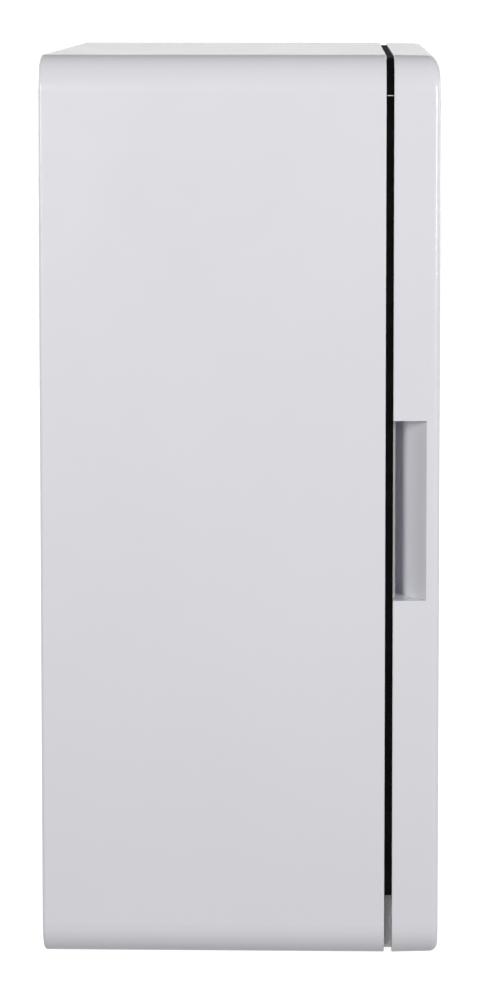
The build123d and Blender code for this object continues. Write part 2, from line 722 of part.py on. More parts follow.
for shelf_name, rail_z in zip(SHELF_NAMES, SHELF_RAIL_Z):
    wire_z = rail_z + SHELF_LIFT + FRAME_WIRE_R
    cross_z = wire_z + FRAME_WIRE_R + CROSS_WIRE_R - CROSS_WIRE_SINK
    with BuildPart() as wire_shelf:
        with BuildLine(Plane.XY.offset(wire_z)) as ring:
            FilletPolyline(
                (-SHELF_HALF_W, SHELF_FRONT_Y),
                (SHELF_HALF_W, SHELF_FRONT_Y),
                (SHELF_HALF_W, SHELF_REAR_Y),
                (-SHELF_HALF_W, SHELF_REAR_Y),
                radius=SHELF_CORNER_R,
                close=True,
            )
        with BuildSketch(Plane(origin=ring.wire() @ 0, z_dir=ring.wire() % 0)):
            Circle(FRAME_WIRE_R)
        sweep(path=ring.wire())
        with BuildSketch(across(SHELF_REAR_Y)):
            with Locations(*[(x, cross_z) for x in cross_wire_x]):
                Circle(CROSS_WIRE_R)
        extrude(amount=SHELF_REAR_Y - SHELF_FRONT_Y)
        # Two stiffening wires under the cross wires
        with BuildSketch(Plane.YZ.offset(-SHELF_HALF_W)):
            with Locations((shelf_mid_y - STIFFENER_DY, wire_z), (shelf_mid_y + STIFFENER_DY, wire_z)):
                Circle(FRAME_WIRE_R)
        extrude(amount=2 * SHELF_HALF_W)
    write_piece(f"wire_shelf_{shelf_name}", wire_shelf)

# ---- Drip tray ----

with BuildPart() as drip_tray:
    with BuildSketch(Plane.XY.offset(TRAY_LOW_Z)):
        with Locations((0, TRAY_MID_Y)):
            RectangleRounded(TRAY_W, TRAY_REAR_Y - TRAY_FRONT_Y, TRAY_CORNER_R)
    extrude(amount=TRAY_HIGH_Z - TRAY_LOW_Z)
    fillet(drip_tray.edges().group_by(Axis.Z)[0], 1.6)
    with BuildSketch(Plane.XY.offset(TRAY_LOW_Z + TRAY_T)):
        with Locations((0, TRAY_MID_Y)):
            RectangleRounded(
                TRAY_W - 2 * TRAY_T, TRAY_REAR_Y - TRAY_FRONT_Y - 2 * TRAY_T, TRAY_CORNER_R - TRAY_T
            )
    extrude(amount=TRAY_HIGH_Z - TRAY_LOW_Z - TRAY_T, mode=Mode.SUBTRACT)
    # Finger lip along the front
    with BuildSketch(Plane.YZ.offset(-TRAY_LIP_W / 2)):
        with BuildLine():
            Polyline(
                (TRAY_FRONT_Y + 0.5, TRAY_HIGH_Z),
                (TRAY_FRONT_Y - TRAY_LIP_REACH, TRAY_HIGH_Z),
                (TRAY_FRONT_Y - TRAY_LIP_REACH, TRAY_HIGH_Z - TRAY_LIP_DROP),
                (TRAY_FRONT_Y - TRAY_LIP_REACH + TRAY_LIP_T, TRAY_HIGH_Z - TRAY_LIP_DROP),
                (TRAY_FRONT_Y - TRAY_LIP_REACH + TRAY_LIP_T, TRAY_HIGH_Z - TRAY_T),
                (TRAY_FRONT_Y + 0.5, TRAY_HIGH_Z - TRAY_T),
                close=True,
            )
        make_face()
    extrude(amount=TRAY_LIP_W)
write_piece("drip_tray", drip_tray)

with BuildPart() as tray_runners:
    for side in (-1, 1):
        with BuildSketch(across(TRAY_REAR_Y + 4)):
            with BuildLine():
                Polyline(
                    (side * RUNNER_INNER_X, BASE_TOP_Z),
                    (side * RUNNER_OUTER_X, BASE_TOP_Z),
                    (side * RUNNER_OUTER_X, TRAY_LOW_Z + RUNNER_GUIDE_H),
                    (side * RUNNER_GUIDE_X, TRAY_LOW_Z + RUNNER_GUIDE_H),
                    (side * RUNNER_GUIDE_X, TRAY_LOW_Z - RUNNER_GAP),
                    (side * RUNNER_INNER_X, TRAY_LOW_Z - RUNNER_GAP),
                    close=True,
                )
            make_face()
        extrude(amount=TRAY_REAR_Y + 4 - FRAME_BACK_Y - 3)
write_piece("tray_runners", tray_runners)

# ---- Hinges and catches on the case ----

for hinge_name, hinge_z in zip(HINGE_NAMES, HINGE_Z):
    with BuildPart() as hinge_bracket:
        with BuildSketch(across(FRAME_BACK_Y + ARM_T)):
            with Locations(((BRACKET_LEFT_X + ARM_RIGHT_X) / 2, hinge_z)):
                RectangleRounded(ARM_RIGHT_X - BRACKET_LEFT_X, 2 * BRACKET_HALF_H, 4)
            with Locations(
                (BRACKET_SCREW_X, hinge_z - BRACKET_SCREW_DZ),
                (BRACKET_SCREW_X, hinge_z + BRACKET_SCREW_DZ),
            ):
                Circle(BRACKET_SCREW_R, mode=Mode.SUBTRACT)
        extrude(amount=ARM_T)
        with BuildSketch(Plane.XY.offset(hinge_z - ARM_T / 2)):
            with Locations(((ARM_LEFT_X + ARM_RIGHT_X) / 2, (HINGE_Y + FRAME_BACK_Y + 1) / 2)):
                Rectangle(ARM_RIGHT_X - ARM_LEFT_X, FRAME_BACK_Y + 1 - HINGE_Y)
            with Locations((HINGE_X, HINGE_Y)):
                Circle(ARM_EYE_R)
                Circle(PIN_R, mode=Mode.SUBTRACT)
        extrude(amount=ARM_T)
    write_piece(f"hinge_bracket_{hinge_name}", hinge_bracket)

with BuildPart() as hinge_pins:
    for hinge_z in HINGE_Z:
        with BuildSketch(Plane.XY.offset(hinge_z - PIN_HALF_L)):
            with Locations((HINGE_X, HINGE_Y)):
                Circle(PIN_R)
        extrude(amount=2 * PIN_HALF_L)
    chamfer(hinge_pins.edges().filter_by(GeomType.CIRCLE), 0.6)
write_piece("hinge_pins", hinge_pins)

write_countersunk_screws(
    "hinge_bracket_screws", bracket_screw_points, BRACKET_SCREW_R, BRACKET_SCREW_HEAD_R, BRACKET_SCREW_L
)

with BuildPart() as catch_housings:
    with BuildSketch(across(CATCH_BACK_Y)):
        with Locations(*catch_points):
            RectangleRounded(CATCH_W, CATCH_H, 1.5)
    extrude(amount=CATCH_BACK_Y - CATCH_FRONT_Y)
    with BuildSketch(across(MAGNET_BACK_Y)):
        with Locations(*catch_points):
            Rectangle(MAGNET_W, MAGNET_H)
    extrude(amount=MAGNET_BACK_Y - CATCH_FRONT_Y, mode=Mode.SUBTRACT)
write_piece("catch_housings", catch_housings)

with BuildPart() as catch_magnets:
    with BuildSketch(across(MAGNET_BACK_Y)):
        with Locations(*catch_points):
            Rectangle(MAGNET_W, MAGNET_H)
    extrude(amount=MAGNET_BACK_Y - CATCH_FRONT_Y + MAGNET_PROUD)
write_piece("catch_magnets", catch_magnets)

# ---- Power switch and pilot lamp ----

with BuildPart() as switch_housing:
    with BuildSketch(Plane.YZ.offset(RECESS_FLOOR_X)):
        with Locations((RECESS_Y, SWITCH_Z)):
            RectangleRounded(2 * SWITCH_BEZEL_HALF_W, 2 * SWITCH_BEZEL_HALF_H, 1.5)
    extrude(amount=SWITCH_BEZEL_T)
    fillet(switch_housing.edges().group_by(Axis.X)[-1], 0.5)
    with BuildSketch(Plane.YZ.offset(RECESS_FLOOR_X)):
        with Locations((RECESS_Y, SWITCH_Z)):
            Rectangle(2 * SWITCH_BODY_HALF_W, 2 * SWITCH_BODY_HALF_H)
    extrude(amount=-SWITCH_DEPTH)
    with BuildSketch(Plane.YZ.offset(RECESS_FLOOR_X + SWITCH_BEZEL_T)):
        with Locations((RECESS_Y, SWITCH_Z)):
            Rectangle(2 * SWITCH_CAVITY_HALF_W, 2 * SWITCH_CAVITY_HALF_H)
    extrude(amount=-SWITCH_CAVITY_DEPTH, mode=Mode.SUBTRACT)
    with BuildSketch(across(RECESS_Y + SWITCH_CAVITY_HALF_W + ROCKER_SOCKET_DEPTH)):
        with Locations((ROCKER_PIVOT_X, SWITCH_Z)):
            Circle(ROCKER_TRUNNION_R + ROCKER_RUNNING_GAP)
    extrude(amount=2 * (SWITCH_CAVITY_HALF_W + ROCKER_SOCKET_DEPTH), mode=Mode.SUBTRACT)
write_piece("switch_housing", switch_housing)

# The rocker's upper end stands out at rest
rocker_plane = Plane(
    origin=(ROCKER_PIVOT_X, RECESS_Y, SWITCH_Z),
    x_dir=(math.cos(math.radians(ROCKER_TILT)), 0, -math.sin(math.radians(ROCKER_TILT))),
    z_dir=(0, -1, 0),
)

with BuildPart() as power_rocker:
    with BuildSketch(rocker_plane):
        with BuildLine():
            Polyline(
                (3.0, -7.8),
                (1.6, 0.0),
                (3.0, 7.8),
                (-4.0, 6.4),
                (-4.0, -6.4),
                close=True,
            )
        make_face()
    extrude(amount=ROCKER_HALF_W, both=True)
    with BuildSketch(rocker_plane):
        Circle(ROCKER_TRUNNION_R)
    extrude(amount=SWITCH_CAVITY_HALF_W + ROCKER_SOCKET_DEPTH - 0.2, both=True)
write_piece("power_rocker", power_rocker)

with BuildPart() as switch_terminals:
    with BuildSketch(Plane.YZ.offset(RECESS_FLOOR_X - SWITCH_DEPTH - TERMINAL_L)):
        with Locations((RECESS_Y, SWITCH_Z - TERMINAL_DZ), (RECESS_Y, SWITCH_Z + TERMINAL_DZ)):
            Rectangle(TAG_W, TAG_T)
    extrude(amount=TERMINAL_L)
write_piece("switch_terminals", switch_terminals)

with BuildPart() as pilot_lamp:
    with BuildSketch(Plane.YZ.offset(RECESS_FLOOR_X - LAMP_DEPTH)):
        with Locations((RECESS_Y, LAMP_Z)):
            Circle(LAMP_R)
    extrude(amount=LAMP_DEPTH)
    with BuildSketch(Plane.YZ.offset(RECESS_FLOOR_X)):
        with Locations((RECESS_Y, LAMP_Z)):
            Circle(LAMP_RIM_R)
    extrude(amount=LAMP_RIM_T)
    fillet(pilot_lamp.edges().group_by(Axis.X)[-1], 1.8)
write_piece("pilot_lamp", pilot_lamp)

# ---- Mains inlet ----

inlet_pin_points = [(INLET_X - 7, INLET_Z - 1.5), (INLET_X + 7, INLET_Z - 1.5), (INLET_X, INLET_Z + 2.5)]
socket_x = INLET_SOCKET_W / 2
socket_z = INLET_SOCKET_H / 2

with BuildPart() as inlet_housing:
    with BuildSketch(across(PANEL_OUT_Y + INLET_FLANGE_T)):
        with Locations((INLET_X, INLET_Z)):
            RectangleRounded(INLET_FLANGE_W, INLET_FLANGE_H, 6)
        with Locations(*inlet_screw_points):
            Circle(SCREW_R, mode=Mode.SUBTRACT)
    extrude(amount=INLET_FLANGE_T)
    with BuildSketch(across(PANEL_OUT_Y)):
        with Locations((INLET_X, INLET_Z)):
            Rectangle(INLET_BODY_W, INLET_BODY_H)
    extrude(amount=INLET_DEPTH)
    # Socket with the two cut-off corners of the standard appliance inlet
    with BuildSketch(across(PANEL_OUT_Y + INLET_FLANGE_T)):
        with BuildLine():
            Polyline(
                (INLET_X - socket_x, INLET_Z - socket_z),
                (INLET_X + socket_x, INLET_Z - socket_z),
                (INLET_X + socket_x, INLET_Z + socket_z - INLET_SOCKET_CUT),
                (INLET_X + socket_x - INLET_SOCKET_CUT, INLET_Z + socket_z),
                (INLET_X - socket_x + INLET_SOCKET_CUT, INLET_Z + socket_z),
                (INLET_X - socket_x, INLET_Z + socket_z - INLET_SOCKET_CUT),
                close=True,
            )
        make_face()
    extrude(amount=INLET_SOCKET_DEPTH, mode=Mode.SUBTRACT)
    with BuildSketch(across(PANEL_OUT_Y)):
        with Locations(*inlet_pin_points):
            Rectangle(INLET_PIN_W, INLET_PIN_H)
    extrude(amount=INLET_DEPTH, mode=Mode.SUBTRACT)
write_piece("inlet_housing", inlet_housing)

with BuildPart() as inlet_pins:
    with BuildSketch(across(PANEL_OUT_Y - 1.0)):
        with Locations(*inlet_pin_points):
            Rectangle(INLET_PIN_W, INLET_PIN_H)
    extrude(amount=INLET_PIN_L)
write_piece("inlet_pins", inlet_pins)

write_pan_screws(
    "inlet_screws", inlet_screw_points, PANEL_OUT_Y + INLET_FLANGE_T, INLET_SCREW_L, head_r=2.8, head_t=1.5
)

# ---- Controls under the chamber ----

thermostat_low_z = LINER_LOW_Z - HEATER_GAP - THERMOSTAT_H

with BuildPart() as thermostat:
    with BuildSketch(Plane.XY.offset(thermostat_low_z)):
        with Locations((THERMOSTAT_X, CONTROLS_Y)):
            Circle(THERMOSTAT_R)
    extrude(amount=THERMOSTAT_H)
    with BuildSketch(Plane.XY.offset(LINER_LOW_Z - HEATER_GAP - 1.0)):
        with Locations((THERMOSTAT_X, CONTROLS_Y)):
            SlotOverall(THERMOSTAT_EARS_L, 7.0)
    extrude(amount=1.0)
    with BuildSketch(Plane.XY.offset(thermostat_low_z - 7.0)):
        with Locations((THERMOSTAT_X - 4.0, CONTROLS_Y), (THERMOSTAT_X + 4.0, CONTROLS_Y)):
            Rectangle(TAG_T, TAG_W)
    extrude(amount=7.0)
write_piece("thermostat", thermostat)

with BuildPart() as thermal_fuse:
    with BuildSketch(Plane.YZ.offset(FUSE_LEFT_X)):
        with Locations((CONTROLS_Y, LINER_LOW_Z - FUSE_R - 0.4)):
            Circle(FUSE_R)
    extrude(amount=FUSE_L)
    fillet(thermal_fuse.edges().filter_by(GeomType.CIRCLE), FUSE_R / 3)
write_piece("thermal_fuse", thermal_fuse)

with BuildPart() as terminal_block:
    with BuildSketch(Plane.XY.offset(BASE_TOP_Z)):
        with Locations((BLOCK_X, BLOCK_Y)):
            RectangleRounded(BLOCK_L, BLOCK_W, 1.5)
    extrude(amount=BLOCK_H)
    with BuildSketch(Plane.XY.offset(BASE_TOP_Z + BLOCK_H)):
        with Locations((BLOCK_X, BLOCK_Y)):
            with GridLocations(BLOCK_PITCH, BLOCK_W / 2, 3, 2):
                Circle(2.4)
    extrude(amount=-5.0, mode=Mode.SUBTRACT)
write_piece("terminal_block", terminal_block)

with BuildPart() as earth_screw:
    with BuildSketch(Plane.XY.offset(BASE_PLATE_Z)):
        with Locations((EARTH_X, EARTH_Y)):
            Circle(EARTH_SCREW_R)
    extrude(amount=BASE_PLATE_T)
    with BuildSketch(Plane.XY.offset(BASE_TOP_Z)):
        with Locations((EARTH_X, EARTH_Y)):
            RegularPolygon(2 * EARTH_SCREW_R, 6)
    extrude(amount=3.0)
write_piece("earth_screw", earth_screw)

# Wires between the inlet, the switch, the terminal block and the heaters, each as its corner points
wire_routes = {
    "line_wire": [
        (127.0, WIRE_START_Y, 36.5),
        (127.0, 94.0, 36.5),
        (152.0, 66.0, 28.0),
        (178.0, 30.0, 24.0),
        (176.0, -4.0, 28.0),
        (170.0, -32.0, 40.0),
        (174.0, RECESS_Y, SWITCH_Z - TERMINAL_DZ),
        (RECESS_FLOOR_X - SWITCH_DEPTH - TERMINAL_L, RECESS_Y, SWITCH_Z - TERMINAL_DZ),
    ],
    "neutral_wire": [
        (113.0, WIRE_START_Y, 36.5),
        (113.0, 97.0, 36.5),
        (88.0, 88.0, 26.0),
        (70.0, BLOCK_Y, 20.0),
        (BLOCK_X + BLOCK_L / 2 + 0.5, BLOCK_Y, 18.0),
    ],
    "earth_wire": [
        (120.0, WIRE_START_Y, 40.5),
        (120.0, 99.0, 40.5),
        (138.0, 88.0, 38.0),
        (158.0, 92.0, 28.0),
        (EARTH_X, EARTH_Y, 15.0),
    ],
    "heater_wire": [
        (BLOCK_X - BLOCK_L / 2 - 0.5, BLOCK_Y, 18.0),
        (2.0, 82.0, 22.0),
        (-14.0, 96.0, 34.0),
        (-16.0, 112.0, 45.0),
        (-12.0, 120.8, 57.0),
        (-12.0, 120.8, 70.0),
    ],
}


def bend_radii(points):
    """Arc radius at each inner corner: as large as the two runs beside it allow."""
    radii = []
    for before, corner, after in zip(points, points[1:], points[2:]):
        run_in = Vector(*corner) - Vector(*before)
        run_out = Vector(*after) - Vector(*corner)
        turn = math.radians(run_in.get_angle(run_out))
        radii.append(0.45 * min(run_in.length, run_out.length) / math.tan(turn / 2))
    return radii


for wire_name, points in wire_routes.items():
    radii = bend_radii(points)
    print(wire_name, "radii", [round(r, 1) for r in radii])
    with BuildPart() as wire:
        with BuildLine() as route:
            FilletPolyline(*points, radius=radii)
        with BuildSketch(Plane(origin=points[0], z_dir=route.wire() % 0)):
            Circle(WIRE_R)
        sweep(path=route.wire())
    print(wire_name, "volume ratio", wire.part.volume / (math.pi * WIRE_R**2 * route.wire().length))
    write_piece(wire_name, wire)

# ---- Door ----

door_depth = DOOR_REAR_Y - FRONT_Y


def edge_inset(radius, draft, from_front):
    """How far an edge of the door's outline lies inside the rear one, at a distance from its front face."""
    straight = draft * (1 - from_front / door_depth)
    into_round = max(0.0, radius - from_front)
    return straight + radius - math.sqrt(radius**2 - into_round**2)


def door_outline(from_front):
    """Size, centre height and corner radius of the door's outline at a distance from its front face."""
    side = edge_inset(DOOR_SIDE_R, DOOR_SIDE_DRAFT, from_front)
    top = edge_inset(DOOR_TOP_R, DOOR_TOP_DRAFT, from_front)
    bottom = edge_inset(DOOR_BOTTOM_R, DOOR_BOTTOM_DRAFT, from_front)
    height = SHELL_HEIGHT - top - bottom
    centre_z = BOTTOM_Z + bottom + height / 2
    return WIDTH - 2 * side, height, centre_z, CORNER_R - (side + top + bottom) / 3


door_bosses = [(x, z) for x in DOOR_BOSS_X for z in DOOR_BOSS_Z]

with BuildPart() as door_cover:
    # Eased rear edge and drafted side walls, then the rounded front edge
    for from_rear, inset in (
        (0.0, DOOR_REAR_EDGE_R),
        (0.3 * DOOR_REAR_EDGE_R, 0.3 * DOOR_REAR_EDGE_R),
        (DOOR_REAR_EDGE_R, 0.0),
        (door_depth - DOOR_TOP_R, 0.0),
    ):
        width, height, centre_z, radius = door_outline(door_depth - from_rear)
        with BuildSketch(across(DOOR_REAR_Y - from_rear)):
            with Locations((0, centre_z)):
                RectangleRounded(width - 2 * inset, height - 2 * inset, radius - inset)
    loft(ruled=True)
    for from_front in (DOOR_TOP_R, 7.4, 5.6, 4.3, 3.2, 2.2, 1.3, 0.6, 0.15, 0.0):
        width, height, centre_z, radius = door_outline(from_front)
        with BuildSketch(across(FRONT_Y + from_front)):
            with Locations((0, centre_z)):
                RectangleRounded(width, height, radius)
    loft()
    # Hollow, stepped in behind the rounded edge
    with BuildSketch(across(DOOR_REAR_Y)):
        with Locations((0, MID_Z)):
            RectangleRounded(WIDTH - 2 * DOOR_SKIN, SHELL_HEIGHT - 2 * DOOR_SKIN, CORNER_R - DOOR_SKIN)
    extrude(amount=DOOR_REAR_Y - DOOR_STEP_Y, mode=Mode.SUBTRACT)
    with BuildSketch(across(DOOR_STEP_Y)):
        with Locations((0, MID_Z)):
            RectangleRounded(WIDTH - 2 * DOOR_STEP_SIDE, SHELL_HEIGHT - 2 * DOOR_STEP_END, CORNER_R - 12)
    extrude(amount=DOOR_STEP_Y - DOOR_FLOOR_Y, mode=Mode.SUBTRACT)
    with BuildSketch(across(PANEL_FRONT_Y)):
        with Locations(*door_bosses):
            Circle(DOOR_BOSS_R)
            Circle(SCREW_R, mode=Mode.SUBTRACT)
    extrude(amount=PANEL_FRONT_Y - DOOR_FLOOR_Y + 0.5)
    # Mouth of the finger pull, open to the rear edge
    with BuildSketch(Plane.XY.offset(PULL_LOW_Z)):
        with Locations((-HALF_W, (PULL_FRONT_Y + DOOR_REAR_Y) / 2)):
            Rectangle(2 * DOOR_SKIN, DOOR_REAR_Y - PULL_FRONT_Y)
    extrude(amount=PULL_HIGH_Z - PULL_LOW_Z, mode=Mode.SUBTRACT)
    # Slots that the hinge arms swing in
    for hinge_z in HINGE_Z:
        with BuildSketch(Plane.XY.offset(hinge_z - SLOT_HALF_H)):
            with Locations((HALF_W, (SLOT_FRONT_Y + DOOR_REAR_Y) / 2)):
                Rectangle(2 * DOOR_SKIN, DOOR_REAR_Y - SLOT_FRONT_Y)
        extrude(amount=2 * SLOT_HALF_H, mode=Mode.SUBTRACT)
write_piece("door_cover", door_cover)

with BuildPart() as handle_cup:
    with BuildSketch(Plane.XY.offset(PULL_LOW_Z - CUP_WALL)):
        with BuildLine():
            Polyline(
                (CUP_MOUTH_X, DOOR_REAR_Y),
                (CUP_MOUTH_X, PULL_FRONT_Y - CUP_WALL),
                (CUP_SHOULDER_X + 1.5 * CUP_WALL, PULL_FRONT_Y - CUP_WALL),
                (CUP_BEND_X + 1.5 * CUP_WALL, CUP_BEND_Y - 0.65 * CUP_WALL),
                (CUP_INNER_X, CUP_DEEP_Y - CUP_WALL),
                (CUP_INNER_X, DOOR_REAR_Y),
                close=True,
            )
        make_face()
    extrude(amount=PULL_HIGH_Z - PULL_LOW_Z + 2 * CUP_WALL)
    # Hollow with a low front wall, a floor that slants inwards, and a deep groove behind the rear lip
    with BuildSketch(Plane.XY.offset(PULL_LOW_Z)):
        with BuildLine():
            Polyline(
                (CUP_DEEP_X - 2.0, CUP_UNDERCUT_Y),
                (CUP_LIP_X, CUP_UNDERCUT_Y),
                (CUP_LIP_X, DOOR_REAR_Y + 1),
                (-HALF_W, DOOR_REAR_Y + 1),
                (-HALF_W, PULL_FRONT_Y),
                (CUP_SHOULDER_X, PULL_FRONT_Y),
                (CUP_SLOPE_X, CUP_SLOPE_Y),
            )
            Spline(
                (CUP_SLOPE_X, CUP_SLOPE_Y),
                (CUP_BEND_X, CUP_BEND_Y),
                (CUP_DEEP_X, CUP_DEEP_Y),
                tangents=[(CUP_SLOPE_X - CUP_SHOULDER_X, CUP_SLOPE_Y - PULL_FRONT_Y), (1.0, 0.1)],
            )
            ThreePointArc(
                (CUP_DEEP_X, CUP_DEEP_Y),
                (CUP_INNER_X - 3.0, (CUP_DEEP_Y + CUP_UNDERCUT_Y) / 2),
                (CUP_DEEP_X - 2.0, CUP_UNDERCUT_Y),
            )
        make_face()
    extrude(amount=PULL_HIGH_Z - PULL_LOW_Z, mode=Mode.SUBTRACT)
write_piece("handle_cup", handle_cup)

panel_inset = DOOR_SKIN + FIT
pull_room_h = PULL_HIGH_Z - PULL_LOW_Z + 2 * (CUP_WALL + FIT)

with BuildPart() as door_inner_panel:
    with BuildSketch(across(DOOR_REAR_Y)):
        with Locations((0, MID_Z)):
            RectangleRounded(WIDTH - 2 * panel_inset, SHELL_HEIGHT - 2 * panel_inset, CORNER_R - panel_inset)
        # Room for the finger pull and the hinge arms
        with Locations(((CUP_INNER_X + FIT - HALF_W) / 2, (PULL_LOW_Z + PULL_HIGH_Z) / 2)):
            Rectangle(CUP_INNER_X + FIT + HALF_W, pull_room_h, mode=Mode.SUBTRACT)
        with Locations(*[((ARM_LEFT_X + HALF_W) / 2 - 2 * FIT, z) for z in HINGE_Z]):
            Rectangle(HALF_W - ARM_LEFT_X, 2 * SLOT_HALF_H, mode=Mode.SUBTRACT)
        with Locations(*door_bosses):
            Circle(SCREW_R, mode=Mode.SUBTRACT)
    extrude(amount=PANEL_T)
    # Raised pan that faces the chamber
    with BuildSketch(across(DOOR_REAR_Y + PAN_HEIGHT)):
        with Locations((0, LINER_MID_Z)):
            RectangleRounded(MOUTH_W - 2 * PAN_INSET, MOUTH_H - 2 * PAN_INSET, 12)
    extrude(amount=PAN_HEIGHT + 1.0)
    fillet(door_inner_panel.edges().group_by(Axis.Y)[-1], PAN_WALL)
    pan_hollow = 2 * (PAN_INSET + PAN_WALL)
    with BuildSketch(across(DOOR_REAR_Y + PAN_HEIGHT / 2)):
        with Locations((0, LINER_MID_Z)):
            RectangleRounded(MOUTH_W - pan_hollow, MOUTH_H - pan_hollow, 10)
    extrude(amount=PAN_HEIGHT / 2 + PANEL_T, mode=Mode.SUBTRACT)
write_piece("door_inner_panel", door_inner_panel)

write_pan_screws("door_screws", door_bosses, DOOR_REAR_Y, DOOR_SCREW_L, head_r=3.0, head_t=1.6)

with BuildPart() as door_insulation:
    with BuildSketch(across(PANEL_FRONT_Y - 4)):
        with Locations((2.0, MID_Z)):
            RectangleRounded(DOOR_BLANKET_W, DOOR_BLANKET_H, BLANKET_CORNER_R)
    extrude(amount=BLANKET_T)
    fillet(door_insulation.edges(), BLANKET_EDGE_R)
write_piece("door_insulation", door_insulation)

with BuildPart() as strike_plates:
    with BuildSketch(across(DOOR_REAR_Y + STRIKE_T)):
        with Locations(*catch_points):
            RectangleRounded(CATCH_W, CATCH_H, 2)
    extrude(amount=STRIKE_T)
write_piece("strike_plates", strike_plates)

# ---- Door seal ----

seal_mid_x = (SEAL_LEFT_X + SEAL_RIGHT_X) / 2
seal_width = SEAL_RIGHT_X - SEAL_LEFT_X
seal_back_y = DOOR_REAR_Y + SEAL_T
ring_h = 200.0

# The top strip is the upper end of a closed ring
with BuildPart() as gasket_top:
    with BuildSketch(across(seal_back_y)):
        with Locations((seal_mid_x, SEAL_TOP_Z - ring_h / 2)):
            RectangleRounded(seal_width, ring_h, SEAL_CORNER_R)
            RectangleRounded(
                seal_width - 2 * SEAL_W, ring_h - 2 * SEAL_W, SEAL_CORNER_R - SEAL_W, mode=Mode.SUBTRACT
            )
        with Locations((seal_mid_x, SEAL_JOINT_Z - ring_h / 2)):
            Rectangle(seal_width + 10.0, ring_h + SEAL_JOINT_GAP, mode=Mode.SUBTRACT)
    extrude(amount=SEAL_T)
write_piece("gasket_top", gasket_top)

strip_top_z = SEAL_JOINT_Z - SEAL_JOINT_GAP / 2
for gasket_name, strip_x in (
    ("gasket_left", SEAL_LEFT_X + SEAL_W / 2),
    ("gasket_right", SEAL_RIGHT_X - SEAL_W / 2),
):
    with BuildPart() as side_gasket:
        with BuildSketch(across(seal_back_y)):
            with Locations((strip_x, (SEAL_BOTTOM_Z + strip_top_z) / 2)):
                Rectangle(SEAL_W, strip_top_z - SEAL_BOTTOM_Z)
        extrude(amount=SEAL_T)
        fillet(side_gasket.edges().group_by(Axis.Z)[-1].filter_by(Axis.Y), SEAL_END_R)
    write_piece(gasket_name, side_gasket)

with BuildPart() as gasket_bottom:
    with BuildSketch(across(seal_back_y)):
        with Locations((seal_mid_x, SEAL_BOTTOM_Z + SEAL_W / 2)):
            Rectangle(seal_width - 2 * SEAL_W - 0.6, SEAL_W)
    extrude(amount=SEAL_T)
write_piece("gasket_bottom", gasket_bottom)

# ---- Hinges on the door ----

for hinge_name, hinge_z in zip(HINGE_NAMES, HINGE_Z):
    with BuildPart() as hinge_block:
        with BuildSketch(Plane.XY.offset(hinge_z - BLOCK_HALF_H)):
            with Locations(((BLOCK_LEFT_X + BLOCK_RIGHT_X) / 2, (BLOCK_FRONT_Y + BLOCK_REAR_Y) / 2)):
                Rectangle(BLOCK_RIGHT_X - BLOCK_LEFT_X, BLOCK_REAR_Y - BLOCK_FRONT_Y)
            with Locations((HINGE_X, HINGE_Y)):
                Circle(BUSH_R, mode=Mode.SUBTRACT)
        extrude(amount=2 * BLOCK_HALF_H)
        with BuildSketch(Plane.XY.offset(hinge_z - SLOT_HALF_H)):
            with Locations(((BLOCK_LEFT_X + BLOCK_WEB + HALF_W) / 2, (BLOCK_FRONT_Y + BLOCK_REAR_Y) / 2)):
                Rectangle(HALF_W - BLOCK_LEFT_X - BLOCK_WEB, BLOCK_REAR_Y - BLOCK_FRONT_Y + 2)
        extrude(amount=2 * SLOT_HALF_H, mode=Mode.SUBTRACT)
    write_piece(f"hinge_block_{hinge_name}", hinge_block)

with BuildPart() as hinge_bushes:
    for hinge_z in HINGE_Z:
        for side in (-1, 1):
            face_z = hinge_z + side * SLOT_HALF_H
            with BuildSketch(Plane.XY.offset(face_z)):
                with Locations((HINGE_X, HINGE_Y)):
                    Circle(BUSH_R)
            extrude(amount=side * (BLOCK_HALF_H - SLOT_HALF_H))
            with BuildSketch(Plane.XY.offset(face_z)):
                with Locations((HINGE_X, HINGE_Y)):
                    Circle(BUSH_FLANGE_R)
            extrude(amount=-side * BUSH_FLANGE_T)
        with BuildSketch(Plane.XY.offset(hinge_z - BLOCK_HALF_H)):
            with Locations((HINGE_X, HINGE_Y)):
                Circle(PIN_R + PIN_RUNNING_GAP)
        extrude(amount=2 * BLOCK_HALF_H, mode=Mode.SUBTRACT)
write_piece("hinge_bushes", hinge_bushes)
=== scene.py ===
"""Looks of the hot towel cabinet: procedural materials, fine pieces, soft studio light and
the camera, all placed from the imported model. Metres, in the same frame as the CAD."""

import json
import math

import bmesh
import bpy
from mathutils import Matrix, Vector
from mathutils import noise as perlin


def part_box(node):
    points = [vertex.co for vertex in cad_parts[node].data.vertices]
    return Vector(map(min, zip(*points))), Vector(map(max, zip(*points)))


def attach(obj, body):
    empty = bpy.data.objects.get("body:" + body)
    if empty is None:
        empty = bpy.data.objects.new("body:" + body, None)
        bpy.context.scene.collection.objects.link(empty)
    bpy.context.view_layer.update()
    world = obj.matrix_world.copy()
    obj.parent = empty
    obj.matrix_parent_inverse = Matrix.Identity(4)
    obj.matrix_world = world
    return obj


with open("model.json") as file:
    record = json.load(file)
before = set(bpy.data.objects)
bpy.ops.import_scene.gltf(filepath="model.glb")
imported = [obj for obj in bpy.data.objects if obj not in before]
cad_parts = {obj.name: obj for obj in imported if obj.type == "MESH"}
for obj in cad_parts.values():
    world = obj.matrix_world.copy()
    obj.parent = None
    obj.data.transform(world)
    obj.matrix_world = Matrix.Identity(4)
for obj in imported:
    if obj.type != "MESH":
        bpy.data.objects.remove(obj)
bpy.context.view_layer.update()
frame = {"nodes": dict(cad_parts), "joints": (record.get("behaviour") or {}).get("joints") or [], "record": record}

NODES = frame["nodes"]
SCENE = bpy.context.scene
MM = 0.001

# ---- Camera ----

